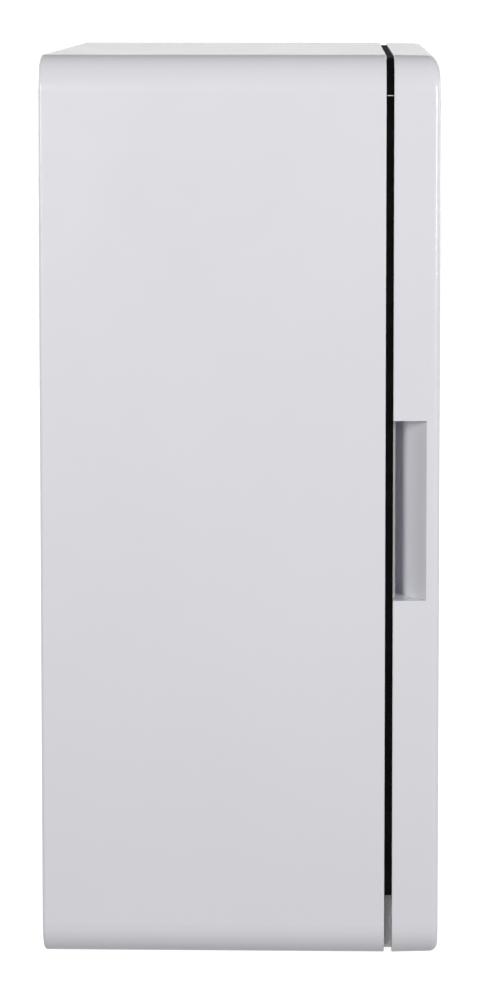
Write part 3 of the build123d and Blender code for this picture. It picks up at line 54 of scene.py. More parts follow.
CAMERA_AT = Vector((-2.525, -0.072, 0.7226))
CAMERA_YAW = math.radians(1.318)
CAMERA_PITCH = math.radians(4.73)
# Sensor and lens in millimetres, shifts in parts of the picture's longer side
SENSOR = 36.0
LENS = 116.208
SHIFT_X = -0.0255
SHIFT_Y = -0.26
CLIP_START = 0.05
CLIP_END = 400.0

camera_data = bpy.data.cameras.new("camera")
camera_data.sensor_width = SENSOR
camera_data.lens = LENS
camera_data.shift_x = SHIFT_X
camera_data.shift_y = SHIFT_Y
camera_data.clip_start = CLIP_START
camera_data.clip_end = CLIP_END
camera = bpy.data.objects.new("camera", camera_data)
SCENE.collection.objects.link(camera)
looking = Vector(
    (
        math.cos(CAMERA_PITCH) * math.cos(CAMERA_YAW),
        math.cos(CAMERA_PITCH) * math.sin(CAMERA_YAW),
        -math.sin(CAMERA_PITCH),
    )
)
camera.location = CAMERA_AT
camera.rotation_euler = looking.to_track_quat("-Z", "Y").to_euler()
SCENE.camera = camera

# ---- Materials ----


class Shade:
    """A material's node tree, built by short calls. Scales are in features per metre."""

    def __init__(self, name):
        self.mat = bpy.data.materials.new(name)
        self.mat.use_nodes = True
        self.tree = self.mat.node_tree
        self.bsdf = self.tree.nodes["Principled BSDF"]
        self.coords = self.add("ShaderNodeTexCoord").outputs["Object"]

    def add(self, kind, **settings):
        """A new node with these settings."""
        node = self.tree.nodes.new(kind)
        for key, value in settings.items():
            setattr(node, key, value)
        return node

    def feed(self, socket, value):
        """A number, a colour or another node's output into a socket."""
        if isinstance(value, tuple):
            socket.default_value = (*value, 1.0)
        elif isinstance(value, (int, float)):
            socket.default_value = value
        else:
            self.tree.links.new(value, socket)

    def fixed(self, **values):
        """Fixed values on the shader's own sockets, with underscores for the spaces in their names."""
        for key, value in values.items():
            self.bsdf.inputs[key.replace("_", " ")].default_value = value

    def place(self, stretch):
        """Object coordinates, stretched along each axis."""
        mapping = self.add("ShaderNodeMapping")
        mapping.inputs["Scale"].default_value = stretch
        self.feed(mapping.inputs["Vector"], self.coords)
        return mapping.outputs["Vector"]

    def noise(self, scale, detail=3.0, rough=0.5, stretch=(1, 1, 1)):
        """Cloudy noise from 0 to 1."""
        node = self.add("ShaderNodeTexNoise")
        node.inputs["Scale"].default_value = scale
        node.inputs["Detail"].default_value = detail
        node.inputs["Roughness"].default_value = rough
        self.feed(node.inputs["Vector"], self.place(stretch))
        return node.outputs["Fac"]

    def cells(self, scale, output="Distance"):
        """Voronoi cells: the distance to each centre, or a random colour for each cell."""
        node = self.add("ShaderNodeTexVoronoi")
        node.inputs["Scale"].default_value = scale
        self.feed(node.inputs["Vector"], self.coords)
        return node.outputs[output]

    def remap(self, value, low, high, out_low=0.0, out_high=1.0):
        """The range from low to high, stretched over out_low to out_high and cut off there."""
        node = self.add("ShaderNodeMapRange")
        node.inputs["From Min"].default_value = low
        node.inputs["From Max"].default_value = high
        node.inputs["To Min"].default_value = out_low
        node.inputs["To Max"].default_value = out_high
        self.feed(node.inputs["Value"], value)
        return node.outputs["Result"]

    def maths(self, operation, a, b):
        """A sum, product or other operation on two values."""
        node = self.add("ShaderNodeMath", operation=operation)
        self.feed(node.inputs[0], a)
        self.feed(node.inputs[1], b)
        return node.outputs[0]

    def mix(self, factor, low, high):
        """The colour low where factor is 0 and high where it is 1."""
        node = self.add("ShaderNodeMix", data_type="RGBA")
        self.feed(node.inputs[0], factor)
        self.feed(node.inputs[6], low)
        self.feed(node.inputs[7], high)
        return node.outputs[2]

    def bump(self, height, distance, strength, under=None):
        """A normal from a height, on top of another bump if under is given. distance is in metres."""
        node = self.add("ShaderNodeBump")
        node.inputs["Distance"].default_value = distance
        node.inputs["Strength"].default_value = strength
        self.feed(node.inputs["Height"], height)
        if under is not None:
            self.feed(node.inputs["Normal"], under)
        return node.outputs["Normal"]

    def out(self, colour, rough=None, normal=None):
        """Wires up the shader and gives the finished material."""
        for name, value in (("Base Color", colour), ("Roughness", rough), ("Normal", normal)):
            if value is not None:
                self.feed(self.bsdf.inputs[name], value)
        return self.mat


# Stretches of a noise along X, Y and Z: it runs long where the number is small
ALONG_SCRATCHES = (1, 9, 0.06)
ALONG_MOULD = (1, 1, 0.22)
SCRATCH_DULLING = 0.03

# Depths of the surface textures
WAVE_DEPTH = 0.7 * MM
GRAIN_DEPTH = 0.02 * MM
DRAWN_DEPTH = 0.03 * MM
PORE_DEPTH = 0.06 * MM
PEEL_DEPTH = 0.08 * MM
GRIT_DEPTH = 0.1 * MM
FACET_DEPTH = 0.2 * MM
FIBRE_DEPTH = 0.6 * MM


def moulded_plastic(name, light, dark, rough, grain=900.0, wave=0.5, coat=0.25):
    """Moulded plastic: faint cloudiness, slow waviness, fine grain and hairline scratches."""
    s = Shade(name)
    s.fixed(IOR=1.48, Coat_Weight=coat, Coat_Roughness=0.1)
    body = s.mix(s.remap(s.noise(5.0, 5.0, 0.6), 0.35, 0.65), dark, light)
    scratches = s.remap(s.noise(160.0, 2.0, 0.5, ALONG_SCRATCHES), 0.70, 0.74)
    cloud = s.remap(s.noise(34.0, 5.0, 0.6), 0.3, 0.7, rough * 0.85, rough * 1.2)
    dulling = s.maths("MULTIPLY", scratches, SCRATCH_DULLING)
    waves = s.bump(s.noise(9.0, 1.0, 0.3, ALONG_MOULD), WAVE_DEPTH, wave)
    fine = s.bump(s.noise(grain, 2.0), GRAIN_DEPTH, 0.35, waves)
    return s.out(body, s.maths("ADD", cloud, dulling), fine)


def metal(name, light, dark, rough, stretch, lines):
    """Metal with drawn lines along one direction, and blotches where it was handled."""
    s = Shade(name)
    s.fixed(Metallic=1.0)
    drawn = s.noise(lines, 4.0, 0.6, stretch)
    return s.out(
        s.mix(s.remap(s.noise(14.0, 4.0), 0.3, 0.7), dark, light),
        s.remap(drawn, 0.25, 0.75, rough * 0.75, rough * 1.3),
        s.bump(drawn, DRAWN_DEPTH, 0.4),
    )


def spangled_zinc(name):
    """Galvanised sheet: flat crystals of different greys."""
    s = Shade(name)
    s.fixed(Metallic=1.0)
    crystal = s.cells(70.0, "Color")
    return s.out(
        s.mix(crystal, (0.50, 0.51, 0.53), (0.66, 0.67, 0.68)),
        s.remap(crystal, 0.0, 1.0, 0.32, 0.5),
        s.bump(s.noise(300.0), DRAWN_DEPTH, 0.3),
    )


def powder_coat(name, light, dark):
    """Powder-coated sheet with orange peel."""
    s = Shade(name)
    s.fixed(IOR=1.5, Coat_Weight=0.1, Coat_Roughness=0.3)
    peel = s.noise(520.0, 2.0)
    return s.out(
        s.mix(s.remap(s.noise(9.0, 4.0), 0.3, 0.7), dark, light),
        s.remap(s.noise(60.0, 4.0), 0.3, 0.7, 0.42, 0.52),
        s.bump(peel, PEEL_DEPTH, 0.5),
    )


def rubber(name, level):
    """Black rubber with a dull skin, grey bloom and fine pores."""
    s = Shade(name)
    s.fixed(IOR=1.3, Specular_IOR_Level=0.06)
    bloom = s.remap(s.noise(45.0, 5.0, 0.65), 0.45, 0.8)
    return s.out(
        s.mix(bloom, (level, level, level * 1.05), (level * 2.6, level * 2.6, level * 2.8)),
        s.remap(s.noise(120.0), 0.3, 0.7, 0.55, 0.75),
        s.bump(s.noise(1600.0, 3.0), PORE_DEPTH, 0.6),
    )


def glass_wool(name):
    """Yellowish glass-fibre felt with crossing fibres."""
    s = Shade(name)
    s.fixed(IOR=1.3, Sheen_Weight=0.4, Sheen_Roughness=0.6)
    along_y = s.noise(900.0, 5.0, 0.7, (1, 0.12, 1))
    along_x = s.noise(900.0, 5.0, 0.7, (0.15, 1, 0.6))
    fibres = s.maths("ADD", along_y, along_x)
    streaks = s.maths("MULTIPLY", fibres, 0.4)
    tone = s.remap(s.maths("ADD", s.noise(25.0, 5.0), streaks), 0.7, 1.1)
    return s.out(
        s.mix(tone, (0.62, 0.54, 0.28), (0.86, 0.81, 0.60)),
        s.remap(fibres, 0.7, 1.3, 0.85, 1.0),
        s.bump(fibres, FIBRE_DEPTH, 0.8),
    )


def silicone_foil(name):
    """Orange-brown heater foil with a faint weave."""
    s = Shade(name)
    s.fixed(IOR=1.42, Coat_Weight=0.3, Coat_Roughness=0.25)
    warp = s.add("ShaderNodeTexWave", bands_direction="Z")
    warp.inputs["Scale"].default_value = 260.0
    warp.inputs["Distortion"].default_value = 1.5
    s.feed(warp.inputs["Vector"], s.coords)
    return s.out(
        s.mix(s.noise(18.0, 4.0), (0.42, 0.15, 0.05), (0.58, 0.26, 0.09)),
        s.remap(s.noise(90.0), 0.3, 0.7, 0.35, 0.5),
        s.bump(warp.outputs["Fac"], PEEL_DEPTH, 0.5),
    )


def ferrite(name):
    """Dark sintered magnet with a gritty skin."""
    s = Shade(name)
    s.fixed(IOR=1.7)
    grit = s.noise(1200.0, 5.0, 0.7)
    return s.out(
        s.mix(grit, (0.03, 0.03, 0.032), (0.10, 0.10, 0.105)),
        s.remap(grit, 0.3, 0.7, 0.4, 0.65),
        s.bump(grit, GRIT_DEPTH, 0.6),
    )


def lamp_lens(name):
    """Amber lens with moulded depth."""
    s = Shade(name)
    s.fixed(
        IOR=1.5,
        Transmission_Weight=0.35,
        Coat_Weight=0.5,
        Coat_Roughness=0.03,
        Emission_Color=(1.0, 0.25, 0.03, 1.0),
        Emission_Strength=0.25,
    )
    facets = s.cells(1100.0)
    return s.out(
        s.mix(s.noise(300.0), (0.75, 0.14, 0.01), (0.95, 0.32, 0.05)),
        s.remap(facets, 0.0, 0.6, 0.1, 0.22),
        s.bump(facets, FACET_DEPTH, 0.4),
    )


def chrome(name):
    """Bright plated wire with faint tarnish."""
    s = Shade(name)
    s.fixed(Metallic=1.0)
    tarnish = s.remap(s.noise(80.0, 5.0, 0.65), 0.45, 0.75)
    return s.out(
        s.mix(tarnish, (0.86, 0.87, 0.89), (0.66, 0.66, 0.66)),
        s.remap(tarnish, 0.0, 1.0, 0.07, 0.2),
        s.bump(s.noise(700.0), GRAIN_DEPTH, 0.25),
    )


def cable_skin(name, light, dark):
    """Coloured insulation of a wire."""
    s = Shade(name)
    s.fixed(IOR=1.46, Coat_Weight=0.15, Coat_Roughness=0.3)
    return s.out(
        s.mix(s.noise(60.0, 4.0), dark, light),
        s.remap(s.noise(400.0), 0.3, 0.7, 0.35, 0.5),
        s.bump(s.noise(1500.0), DRAWN_DEPTH, 0.4),
    )


# Stretches of the drawn lines
FINE_IN_Z = (1, 1, 6)
LONG_IN_Z = (1, 1, 0.01)
LONG_IN_X = (0.05, 1, 1)
EVEN = (1, 1, 1)

BLACK_LIGHT = (0.022, 0.022, 0.024)
BLACK_DARK = (0.012, 0.012, 0.013)


def grey(level):
    """An even grey."""
    return (level, level, level)


FINISHES = {}
for make, slot_name, *look in (
    (moulded_plastic, "white_abs", (0.795, 0.795, 0.84), (0.782, 0.782, 0.827), 0.22),
    (moulded_plastic, "white_trim", (0.76, 0.76, 0.77), (0.72, 0.72, 0.73), 0.36, 1500.0, 0.25, 0.05),
    (powder_coat, "coated_steel", (0.62, 0.63, 0.65), (0.56, 0.57, 0.59)),
    (spangled_zinc, "galvanised_steel"),
    (rubber, "black_rubber", 0.003),
    (metal, "zinc_screws", (0.72, 0.73, 0.74), (0.55, 0.56, 0.56), 0.3, FINE_IN_Z, 900.0),
    (metal, "liner_aluminium", (0.86, 0.87, 0.88), (0.78, 0.79, 0.80), 0.3, LONG_IN_Z, 1200.0),
    (metal, "rivet_aluminium", (0.80, 0.81, 0.82), (0.68, 0.69, 0.70), 0.35, EVEN, 900.0),
    (glass_wool, "glass_fibre"),
    (silicone_foil, "heater_foil"),
    (moulded_plastic, "nylon", (0.78, 0.76, 0.70), (0.70, 0.68, 0.62), 0.42, 1500.0, 0.2, 0.0),
    (moulded_plastic, "nylon_black", grey(0.03), grey(0.018), 0.42, 1500.0, 0.2, 0.0),
    (metal, "hinge_steel", (0.60, 0.61, 0.63), (0.42, 0.43, 0.45), 0.33, LONG_IN_X, 900.0),
    (ferrite, "ferrite"),
    (moulded_plastic, "black_plastic", BLACK_LIGHT, BLACK_DARK, 0.35, 1400.0, 0.2, 0.1),
    (metal, "brass", (0.80, 0.62, 0.30), (0.62, 0.45, 0.20), 0.3, EVEN, 900.0),
    (lamp_lens, "amber_lens"),
    (chrome, "chrome_wire"),
    (cable_skin, "wire_brown", (0.17, 0.06, 0.02), (0.10, 0.035, 0.012)),
    (cable_skin, "wire_blue", (0.02, 0.09, 0.40), (0.012, 0.05, 0.24)),
    (cable_skin, "wire_green", (0.14, 0.42, 0.04), (0.09, 0.28, 0.03)),
    (cable_skin, "wire_red", (0.48, 0.03, 0.02), (0.30, 0.02, 0.015)),
):
    FINISHES[slot_name] = make(slot_name, *look)

for subpart in frame["record"]["subparts"]:
    mesh = NODES[subpart["node"]].data
    mesh.materials.clear()
    mesh.materials.append(FINISHES[subpart["material_slot"]])

# ---- Fine pieces ----

X = Vector((1, 0, 0))
Y = Vector((0, 1, 0))
Z = Vector((0, 0, 1))
RIGHT_ANGLE = math.tau / 4
LUMP_SCALE = 1.7


def plain_mesh(name, bm):
    """A new object from a bmesh, with its faces turned outwards."""
    bmesh.ops.recalc_face_normals(bm, faces=bm.faces)
    mesh = bpy.data.meshes.new(name)
    bm.to_mesh(mesh)
    bm.free()
    obj = bpy.data.objects.new(name, mesh)
    SCENE.collection.objects.link(obj)
    return obj


def dress(name, bm, slot, body):
    """A finished piece: its finish, and the body it rides on."""
    piece = plain_mesh(name, bm)
    piece.data.materials.append(FINISHES[slot])
    piece.data.shade_smooth()
    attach(piece, body)


def add_tube(bm, points, radius, closed=False, sides=8, squash=1.0, flat_way=Z):
    """A round wire through the points, flattened along flat_way by squash."""
    count = len(points)
    rings = []
    for index, point in enumerate(points):
        before = points[index - 1] if closed or index else point
        after = points[(index + 1) % count] if closed or index < count - 1 else point
        along = (after - before).normalized()
        side = along.cross(flat_way).normalized()
        up = side.cross(along)
        ring = []
        for step in range(sides):
            angle = math.tau * step / sides
            offset = math.cos(angle) * side + squash * math.sin(angle) * up
            ring.append(bm.verts.new(point + radius * offset))
        rings.append(ring)
    for index in range(count if closed else count - 1):
        here, there = rings[index], rings[(index + 1) % count]
        for step in range(sides):
            after = (step + 1) % sides
            bm.faces.new((here[step], here[after], there[after], there[step]))
    if not closed:
        bm.faces.new(rings[0])
        bm.faces.new(rings[-1])


def rounded_loop(centre, across_dir, up_dir, half_w, half_h, radius, corner_steps=6):
    """Points round a rectangle with rounded corners."""
    points = []
    for quarter, (sx, sy) in enumerate(((1, 1), (-1, 1), (-1, -1), (1, -1))):
        for step in range(corner_steps + 1):
            angle = RIGHT_ANGLE * (quarter + step / corner_steps)
            dx = sx * (half_w - radius) + radius * math.cos(angle)
            dy = sy * (half_h - radius) + radius * math.sin(angle)
            points.append(centre + dx * across_dir + dy * up_dir)
    return points


def stretch_to(vert, centre, size):
    """Moves a vertex of a unit shape to its place on a shape of that size and centre."""
    vert.co = centre + Vector(tuple(part * length for part, length in zip(vert.co, size)))


def add_blob(bm, centre, size, seed=0.0, lump=0.0):
    """A flattened ball. lump roughens its skin, in a different way for each seed."""
    made = bmesh.ops.create_icosphere(bm, subdivisions=2, radius=1.0)["verts"]
    for vert in made:
        swell = 1 + lump * perlin.noise(vert.co * LUMP_SCALE + Vector((seed, 0, 0)))
        vert.co *= swell
        stretch_to(vert, centre, size)


# Pale nylon slivers where the seal's top meets its side strips: a painted highlight, the light line along that
# joint
JOINT_GAP = 0.05 * MM
JOINT_PROUD = 0.25 * MM
JOINT_SINK = 0.2 * MM
JOINT_BEVEL = 0.22 * MM
top_low, top_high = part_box("gasket_top")
for side, strip in ((-1, "gasket_left"), (1, "gasket_right")):
    strip_low, strip_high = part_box(strip)
    middle = (Vector(strip_low) + Vector(strip_high)) / 2
    centre = Vector((middle.x, middle.y, (strip_high[2] + top_low[2]) / 2))
    spans = (
        strip_high[0] - strip_low[0] + 2 * JOINT_PROUD,
        strip_high[1] - strip_low[1] - 2 * JOINT_SINK,
        top_low[2] - strip_high[2] - 2 * JOINT_GAP,
    )
    # Painted highlight: a pale sliver stands for the light caught where the seal's strips meet
    glint_sliver = bmesh.new()
    bmesh.ops.create_cube(glint_sliver, size=1.0)
    for vert in glint_sliver.verts:
        stretch_to(vert, centre, spans)
    bmesh.ops.bevel(glint_sliver, geom=glint_sliver.edges[:], offset=JOINT_BEVEL, segments=3, affect="EDGES")
    dress(f"painted_seal_glint_{'left' if side < 0 else 'right'}", glint_sliver, "nylon", "door")

# Two thin lips round the seal's face
LIP_R = 0.4 * MM
LIP_INSETS = (2.2 * MM, 5.8 * MM)
LIP_BEND_STEPS = 12
CASE_CORNER_R = 26.0 * MM
case_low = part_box("outer_shell")[0]
seal_low = Vector(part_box("gasket_left")[0])
seal_high = Vector((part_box("gasket_right")[1][0], top_high[1], top_high[2]))
seal_corner = CASE_CORNER_R - (seal_low.x - case_low[0])
lip_y = seal_high.y - 0.6 * LIP_R
lips = bmesh.new()
for inset in LIP_INSETS:
    left = seal_low.x + inset
    right = seal_high.x - inset
    base = seal_low.z + inset
    crown = seal_high.z - inset
    corner = seal_corner - inset
    path = [Vector((left, lip_y, base)), Vector((left, lip_y, (base + crown) / 2))]
    for start, corner_x in ((2 * RIGHT_ANGLE, left + corner), (RIGHT_ANGLE, right - corner)):
        for step in range(LIP_BEND_STEPS + 1):
            angle = start - RIGHT_ANGLE * step / LIP_BEND_STEPS
            x = corner_x + corner * math.cos(angle)
            z = crown - corner + corner * math.sin(angle)
            path.append(Vector((x, lip_y, z)))
    path += [Vector((right, lip_y, (base + crown) / 2)), Vector((right, lip_y, base))]
    add_tube(lips, path, LIP_R, closed=True, flat_way=Y)
dress("seal_lips", lips, "black_rubber", "door")

# Fluted stop that closes the end of the gap under the seal, on the door's free side
STOP_REACH = 11.5 * MM
STOP_T = 5.0 * MM
STOP_RISE = 2.4 * MM
STOP_CLEAR_BACK = 0.2 * MM
STOP_CLEAR_FRONT = 0.15 * MM
STOP_CLEAR_TOP = 0.5 * MM
STOP_CLEAR_CASE = 0.3 * MM
STOP_COLUMNS = 25
STOP_ROWS = 29
FLUTE_DEPTH = 0.6 * MM
FLUTES = 3.0
FLUTE_SLANT = 1.6
STOP_EDGE_ROUND = 0.8 * MM
CASE_WALL = 3.0 * MM
stop_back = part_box("front_frame")[0][1] + STOP_CLEAR_BACK
stop_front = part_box("door_cover")[1][1] + STOP_CLEAR_FRONT
stop_low_z = case_low[2] + STOP_RISE
stop_high_z = seal_low.z - STOP_CLEAR_TOP
stop = bmesh.new()
outer, inner = [], []
for row in range(STOP_ROWS):
    v = row / (STOP_ROWS - 1)
    z = stop_low_z + v * (stop_high_z - stop_low_z)
    # Follow the case's rounded corner
    drop = max(0.0, case_low[2] + CASE_CORNER_R - z)
    inset = CASE_CORNER_R - math.sqrt(max(0.0, (CASE_CORNER_R - CASE_WALL) ** 2 - drop**2))
    x_row = case_low[0] + max(STOP_REACH, inset + STOP_CLEAR_CASE)
    for column in range(STOP_COLUMNS):
        u = column / (STOP_COLUMNS - 1)
        flute = FLUTE_DEPTH * (1 - math.cos(math.tau * (FLUTES * u + FLUTE_SLANT * v))) / 2
        x = x_row + flute + STOP_EDGE_ROUND * abs(2 * u - 1) ** 6
        y = stop_front + u * (stop_back - stop_front)
        outer.append(stop.verts.new((x, y, z)))
        inner.append(stop.verts.new((x_row + STOP_T, y, z)))
for skin in (outer, inner):
    for row in range(STOP_ROWS - 1):
        for column in range(STOP_COLUMNS - 1):
            at = row * STOP_COLUMNS + column
            above = at + STOP_COLUMNS
            stop.faces.new((skin[at], skin[at + 1], skin[above + 1], skin[above]))
# The edge between the two skins, all the way round
rim = list(range(STOP_COLUMNS))
rim += [row * STOP_COLUMNS - 1 for row in range(2, STOP_ROWS + 1)]
rim += [STOP_ROWS * STOP_COLUMNS - column for column in range(2, STOP_COLUMNS + 1)]
rim += [row * STOP_COLUMNS for row in range(STOP_ROWS - 2, 0, -1)]
for at, after in zip(rim, rim[1:] + rim[:1]):
    stop.faces.new((outer[at], outer[after], inner[after], inner[at]))
dress("gap_stop", stop, "white_trim", "cabinet")

# Weld beads where the shelves' wires cross
WIRE_R = 2.2 * MM
WELD_SIZE = (2.0 * MM, 2.0 * MM, 1.3 * MM)
WELD_HEIGHT = 1.72 * WIRE_R
WELD_LUMP = 0.12
CROSS_COUNT = 17
CROSS_PITCH = 21.0 * MM
STIFFENER_DY = 35.0 * MM
for name in ("lower", "upper"):
    low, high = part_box(f"wire_shelf_{name}")
    middle = (low[1] + high[1]) / 2
    rows = (low[1] + WIRE_R, middle - STIFFENER_DY, middle + STIFFENER_DY, high[1] - WIRE_R)
    welds = bmesh.new()
    for index in range(CROSS_COUNT):
        x = (index - (CROSS_COUNT - 1) / 2) * CROSS_PITCH
        for row, y in enumerate(rows):
            centre = Vector((x, y, low[2] + WELD_HEIGHT))
            add_blob(welds, centre, WELD_SIZE, 3.1 * index + 17.0 * row, WELD_LUMP)
    dress(f"shelf_welds_{name}", welds, "chrome_wire", f"{name}_shelf")

# Rolled rims of the ventilation slots
VENT_SIDE_INSET = 71.8 * MM
VENT_END_INSET = 24.8 * MM
VENT_PITCH = 15.0 * MM
VENT_ROW_PITCH = 24.0 * MM
VENT_COLUMNS = 12
VENT_HALF_H = 8.0 * MM
VENT_HALF_W = 2.0 * MM
VENT_RIM_R = 0.45 * MM
VENT_RIM_OUT = 0.7 * VENT_RIM_R
panel_low, panel_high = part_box("back_panel")
low_row = panel_low[2] + VENT_END_INSET
high_row = panel_high[2] - VENT_END_INSET
vents = bmesh.new()
for z in (low_row, low_row + VENT_ROW_PITCH, high_row - VENT_ROW_PITCH, high_row):
    for column in range(VENT_COLUMNS):
        x = panel_low[0] + VENT_SIDE_INSET + VENT_PITCH * column
        half_w = VENT_HALF_W + VENT_RIM_OUT
        half_h = VENT_HALF_H + VENT_RIM_OUT
        rim_path = rounded_loop(Vector((x, panel_high[1], z)), X, Z, half_w, half_h, half_w)
        add_tube(vents, rim_path, VENT_RIM_R, closed=True, squash=0.8, flat_way=Y)
dress("vent_rims", vents, "coated_steel", "cabinet")

# Pressed beads that stiffen the chamber's rear wall
BEAD_LOW = 88.0 * MM
BEAD_PITCH = 195.0 * MM
BEAD_COUNT = 3
BEAD_STEPS = 40
BEAD_HALF_L = 150.0 * MM
BEAD_R = 4.0 * MM
BEAD_RISE = 0.35
BEAD_SINK = 0.2 * MM
LINER_T = 1.5 * MM
liner_low, liner_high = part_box("inner_liner")
bead_y = liner_high[1] - LINER_T + BEAD_SINK
beads = bmesh.new()
for bead in range(BEAD_COUNT):
    z = liner_low[2] + BEAD_LOW + BEAD_PITCH * bead
    points = []
    for step in range(BEAD_STEPS + 1):
        along = 2 * step / BEAD_STEPS - 1
        points.append(Vector((BEAD_HALF_L * along, bead_y, z)))
    add_tube(beads, points, BEAD_R, sides=16, squash=BEAD_RISE, flat_way=Y)
    for end in (points[0], points[-1]):
        add_blob(beads, end, (BEAD_R, BEAD_R * BEAD_RISE, BEAD_R))
dress("liner_beads", beads, "liner_aluminium", "cabinet")

# Ring round the pilot lamp
BEZEL_SINK = 1.1 * MM
BEZEL_CLEAR = 0.55 * MM
BEZEL_WIRE_R = 0.75 * MM
lamp_low, lamp_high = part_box("pilot_lamp")
lamp_centre = (Vector(lamp_low) + Vector(lamp_high)) / 2
lamp_centre.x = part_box("switch_housing")[1][0] - BEZEL_SINK
bezel_r = (lamp_high[1] - lamp_low[1]) / 2 + BEZEL_CLEAR
bezel_path = rounded_loop(lamp_centre, Y, Z, bezel_r, bezel_r, bezel_r, 12)
bezel = bmesh.new()
add_tube(bezel, bezel_path, BEZEL_WIRE_R, closed=True, sides=10, squash=0.8, flat_way=X)
dress("lamp_bezel", bezel, "chrome_wire", "cabinet")

# On and off marks: a bar and a ring on the rocker's two faces
ROCKER_TILT = math.radians(8.0)
ROCKER_HALF_L = 7.8 * MM
ROCKER_FALL = 1.4 * MM
ROCKER_SLOPE = math.atan2(ROCKER_FALL, ROCKER_HALF_L)
ROCKER_MID_OUT = 1.6 * MM
MARK_AT = 4.6 * MM
BAR_HALF_L = 1.5 * MM
BAR_R = 0.28 * MM
RING_R = 1.4 * MM
RING_WIRE_R = 0.26 * MM
pivot = next(Vector(j["pos_m"]) for j in frame["joints"] if j["name"] == "rocker_tilt")
mark_out = ROCKER_MID_OUT + MARK_AT * math.tan(ROCKER_SLOPE)
out_dir = Vector((math.cos(ROCKER_TILT), 0, -math.sin(ROCKER_TILT)))
up_dir = Vector((math.sin(ROCKER_TILT), 0, math.cos(ROCKER_TILT)))
marks = bmesh.new()
for way in (-1, 1):
    face_up = math.cos(ROCKER_SLOPE) * up_dir + way * math.sin(ROCKER_SLOPE) * out_dir
    centre = pivot + way * MARK_AT * up_dir + mark_out * out_dir
    if way < 0:
        bar = [centre - BAR_HALF_L * Y, centre, centre + BAR_HALF_L * Y]
        add_tube(marks, bar, BAR_R, flat_way=face_up)
    else:
        ring = rounded_loop(centre, Y, face_up, RING_R, RING_R, RING_R, 8)
        add_tube(marks, ring, RING_WIRE_R, closed=True, flat_way=face_up.cross(Y))
dress("rocker_marks", marks, "white_trim", "rocker")

# ---- Floor and light ----

FLOOR_HALF = 150.0
# The floor's own glow: white farther off, lowered round the object as painted shade so that its shadow shows
GLOW_NEAR_PAINTED_SHADE = 0.84
GLOW_FAR = 0.96
GLOW_NEAR_TO = 0.45
GLOW_FAR_FROM = 2.2
floor_bm = bmesh.new()
bmesh.ops.create_grid(floor_bm, x_segments=1, y_segments=1, size=FLOOR_HALF)
floor = plain_mesh("floor", floor_bm)
floor_shade = Shade("floor")
floor_shade.fixed(Roughness=0.9, Emission_Color=(1, 1, 1, 1), Specular_IOR_Level=0.0)
floor_tone = floor_shade.mix(floor_shade.noise(3.0, 4.0), grey(0.54), grey(0.56))
away = floor_shade.add("ShaderNodeVectorMath", operation="LENGTH")
floor_shade.feed(away.inputs[0], floor_shade.coords)
distance = away.outputs["Value"]
# Painted shade: the floor glows less close to the object and fully farther off
floor_glow_painted_shade = floor_shade.remap(distance, GLOW_NEAR_TO, GLOW_FAR_FROM, GLOW_NEAR_PAINTED_SHADE, GLOW_FAR)
floor_shade.feed(floor_shade.bsdf.inputs["Emission Strength"], floor_glow_painted_shade)
floor.data.materials.append(floor_shade.out(floor_tone))
# The floor shows shadows but throws no light back on the object
floor.visible_diffuse = False
floor.visible_glossy = False


AIM = Vector((0, 0, 0.35))


def softbox(name, at, width, height, power):
    """A rectangular light that faces the object."""
    data = bpy.data.lights.new(name, "AREA")
    data.shape = "RECTANGLE"
    data.size = width
    data.size_y = height
    data.energy = power
    light = bpy.data.objects.new(name, data)
    light.location = at
    light.rotation_euler = (AIM - Vector(at)).to_track_quat("-Z", "Y").to_euler()
    SCENE.collection.objects.link(light)


softbox("left_rear", (-2.14, 0.84, 0.92), 0.6, 1.1, 23.5)
softbox("left_front", (-1.92, -1.52, 0.88), 0.7, 1.1, 26.5)
softbox("right_front", (2.4, -1.2, 1.0), 1.2, 1.4, 8)
softbox("right_rear", (2.4, 1.3, 1.0), 1.2, 1.4, 8)
softbox("front", (0.4, -3.0, 1.1), 1.0, 1.4, 14)
softbox("rear", (0.9, 3.0, 1.1), 1.2, 1.4, 26)

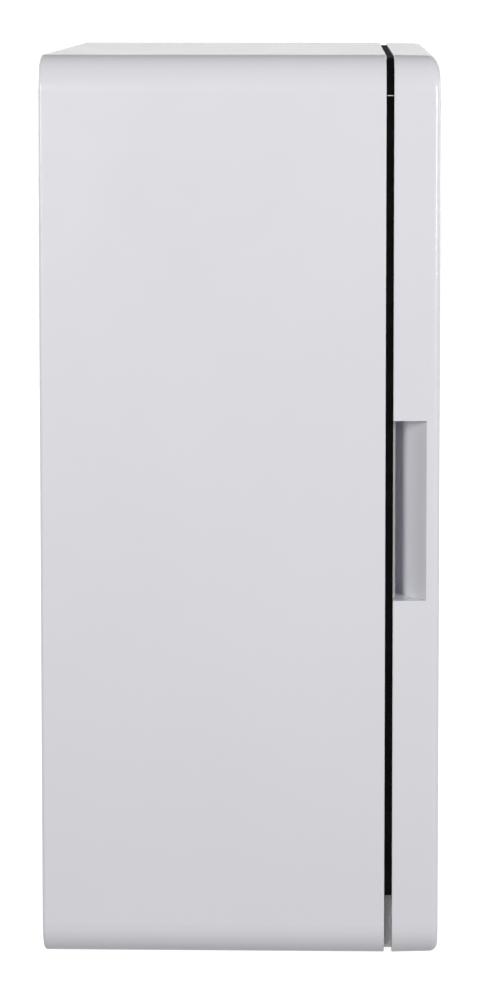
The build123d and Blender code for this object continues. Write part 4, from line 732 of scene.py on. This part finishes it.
# Surroundings: white to the eye; as light, dim on the left and bright low down on the right
RIGHT_RAMP = (
    (-1.0, 0.55),
    (-0.15, 0.60),
    (-0.05, 1.12),
    (0.10, 1.08),
    (0.30, 0.40),
    (0.70, 0.28),
    (1.0, 0.50),
)
LEFT_RAMP = (
    (-1.0, 0.45),
    (-0.60, 0.40),
    (-0.40, 0.08),
    (0.0, 0.04),
    (0.60, 0.10),
    (0.85, 0.20),
    (1.0, 0.50),
)
# Where the left ramp gives way to the right one, by the direction's X
BLEND_FROM = -0.15
BLEND_TO = 0.25

world = bpy.data.worlds.new("world")
world.use_nodes = True
sky = world.node_tree
background = sky.nodes["Background"]
direction = sky.nodes.new("ShaderNodeSeparateXYZ")
sky.links.new(sky.nodes.new("ShaderNodeTexCoord").outputs["Generated"], direction.inputs[0])


def sky_remap(socket, low, high):
    """The range from low to high, stretched over 0 to 1."""
    node = sky.nodes.new("ShaderNodeMapRange")
    node.inputs["From Min"].default_value = low
    node.inputs["From Max"].default_value = high
    sky.links.new(socket, node.inputs["Value"])
    return node.outputs["Result"]


def sky_mix(factor, low, high):
    """low where factor is 0 and high where it is 1, each a number or a node's output."""
    node = sky.nodes.new("ShaderNodeMix")
    sky.links.new(factor, node.inputs[0])
    for socket, value in ((node.inputs[2], low), (node.inputs[3], high)):
        if isinstance(value, float):
            socket.default_value = value
        else:
            sky.links.new(value, socket)
    return node.outputs[0]


def sky_ramp(stops):
    """Strength by height: -1 straight down, 0 at the horizon, 1 straight up."""
    ramp = sky.nodes.new("ShaderNodeValToRGB")
    for index, (height, strength) in enumerate(stops):
        place = (height + 1) / 2
        stop = ramp.color_ramp.elements[index] if index < 2 else ramp.color_ramp.elements.new(place)
        stop.position = place
        stop.color = (strength, strength, strength, 1)
    sky.links.new(sky_remap(direction.outputs["Z"], -1.0, 1.0), ramp.inputs[0])
    return ramp.outputs[0]


rightness = sky_remap(direction.outputs["X"], BLEND_FROM, BLEND_TO)
as_light = sky_mix(rightness, sky_ramp(LEFT_RAMP), sky_ramp(RIGHT_RAMP))
to_the_eye = sky.nodes.new("ShaderNodeLightPath").outputs["Is Camera Ray"]
sky.links.new(sky_mix(to_the_eye, as_light, 1.0), background.inputs["Strength"])
background.inputs["Color"].default_value = (1, 1, 1, 1)
SCENE.world = world
SCENE.view_settings.view_transform = "Standard"
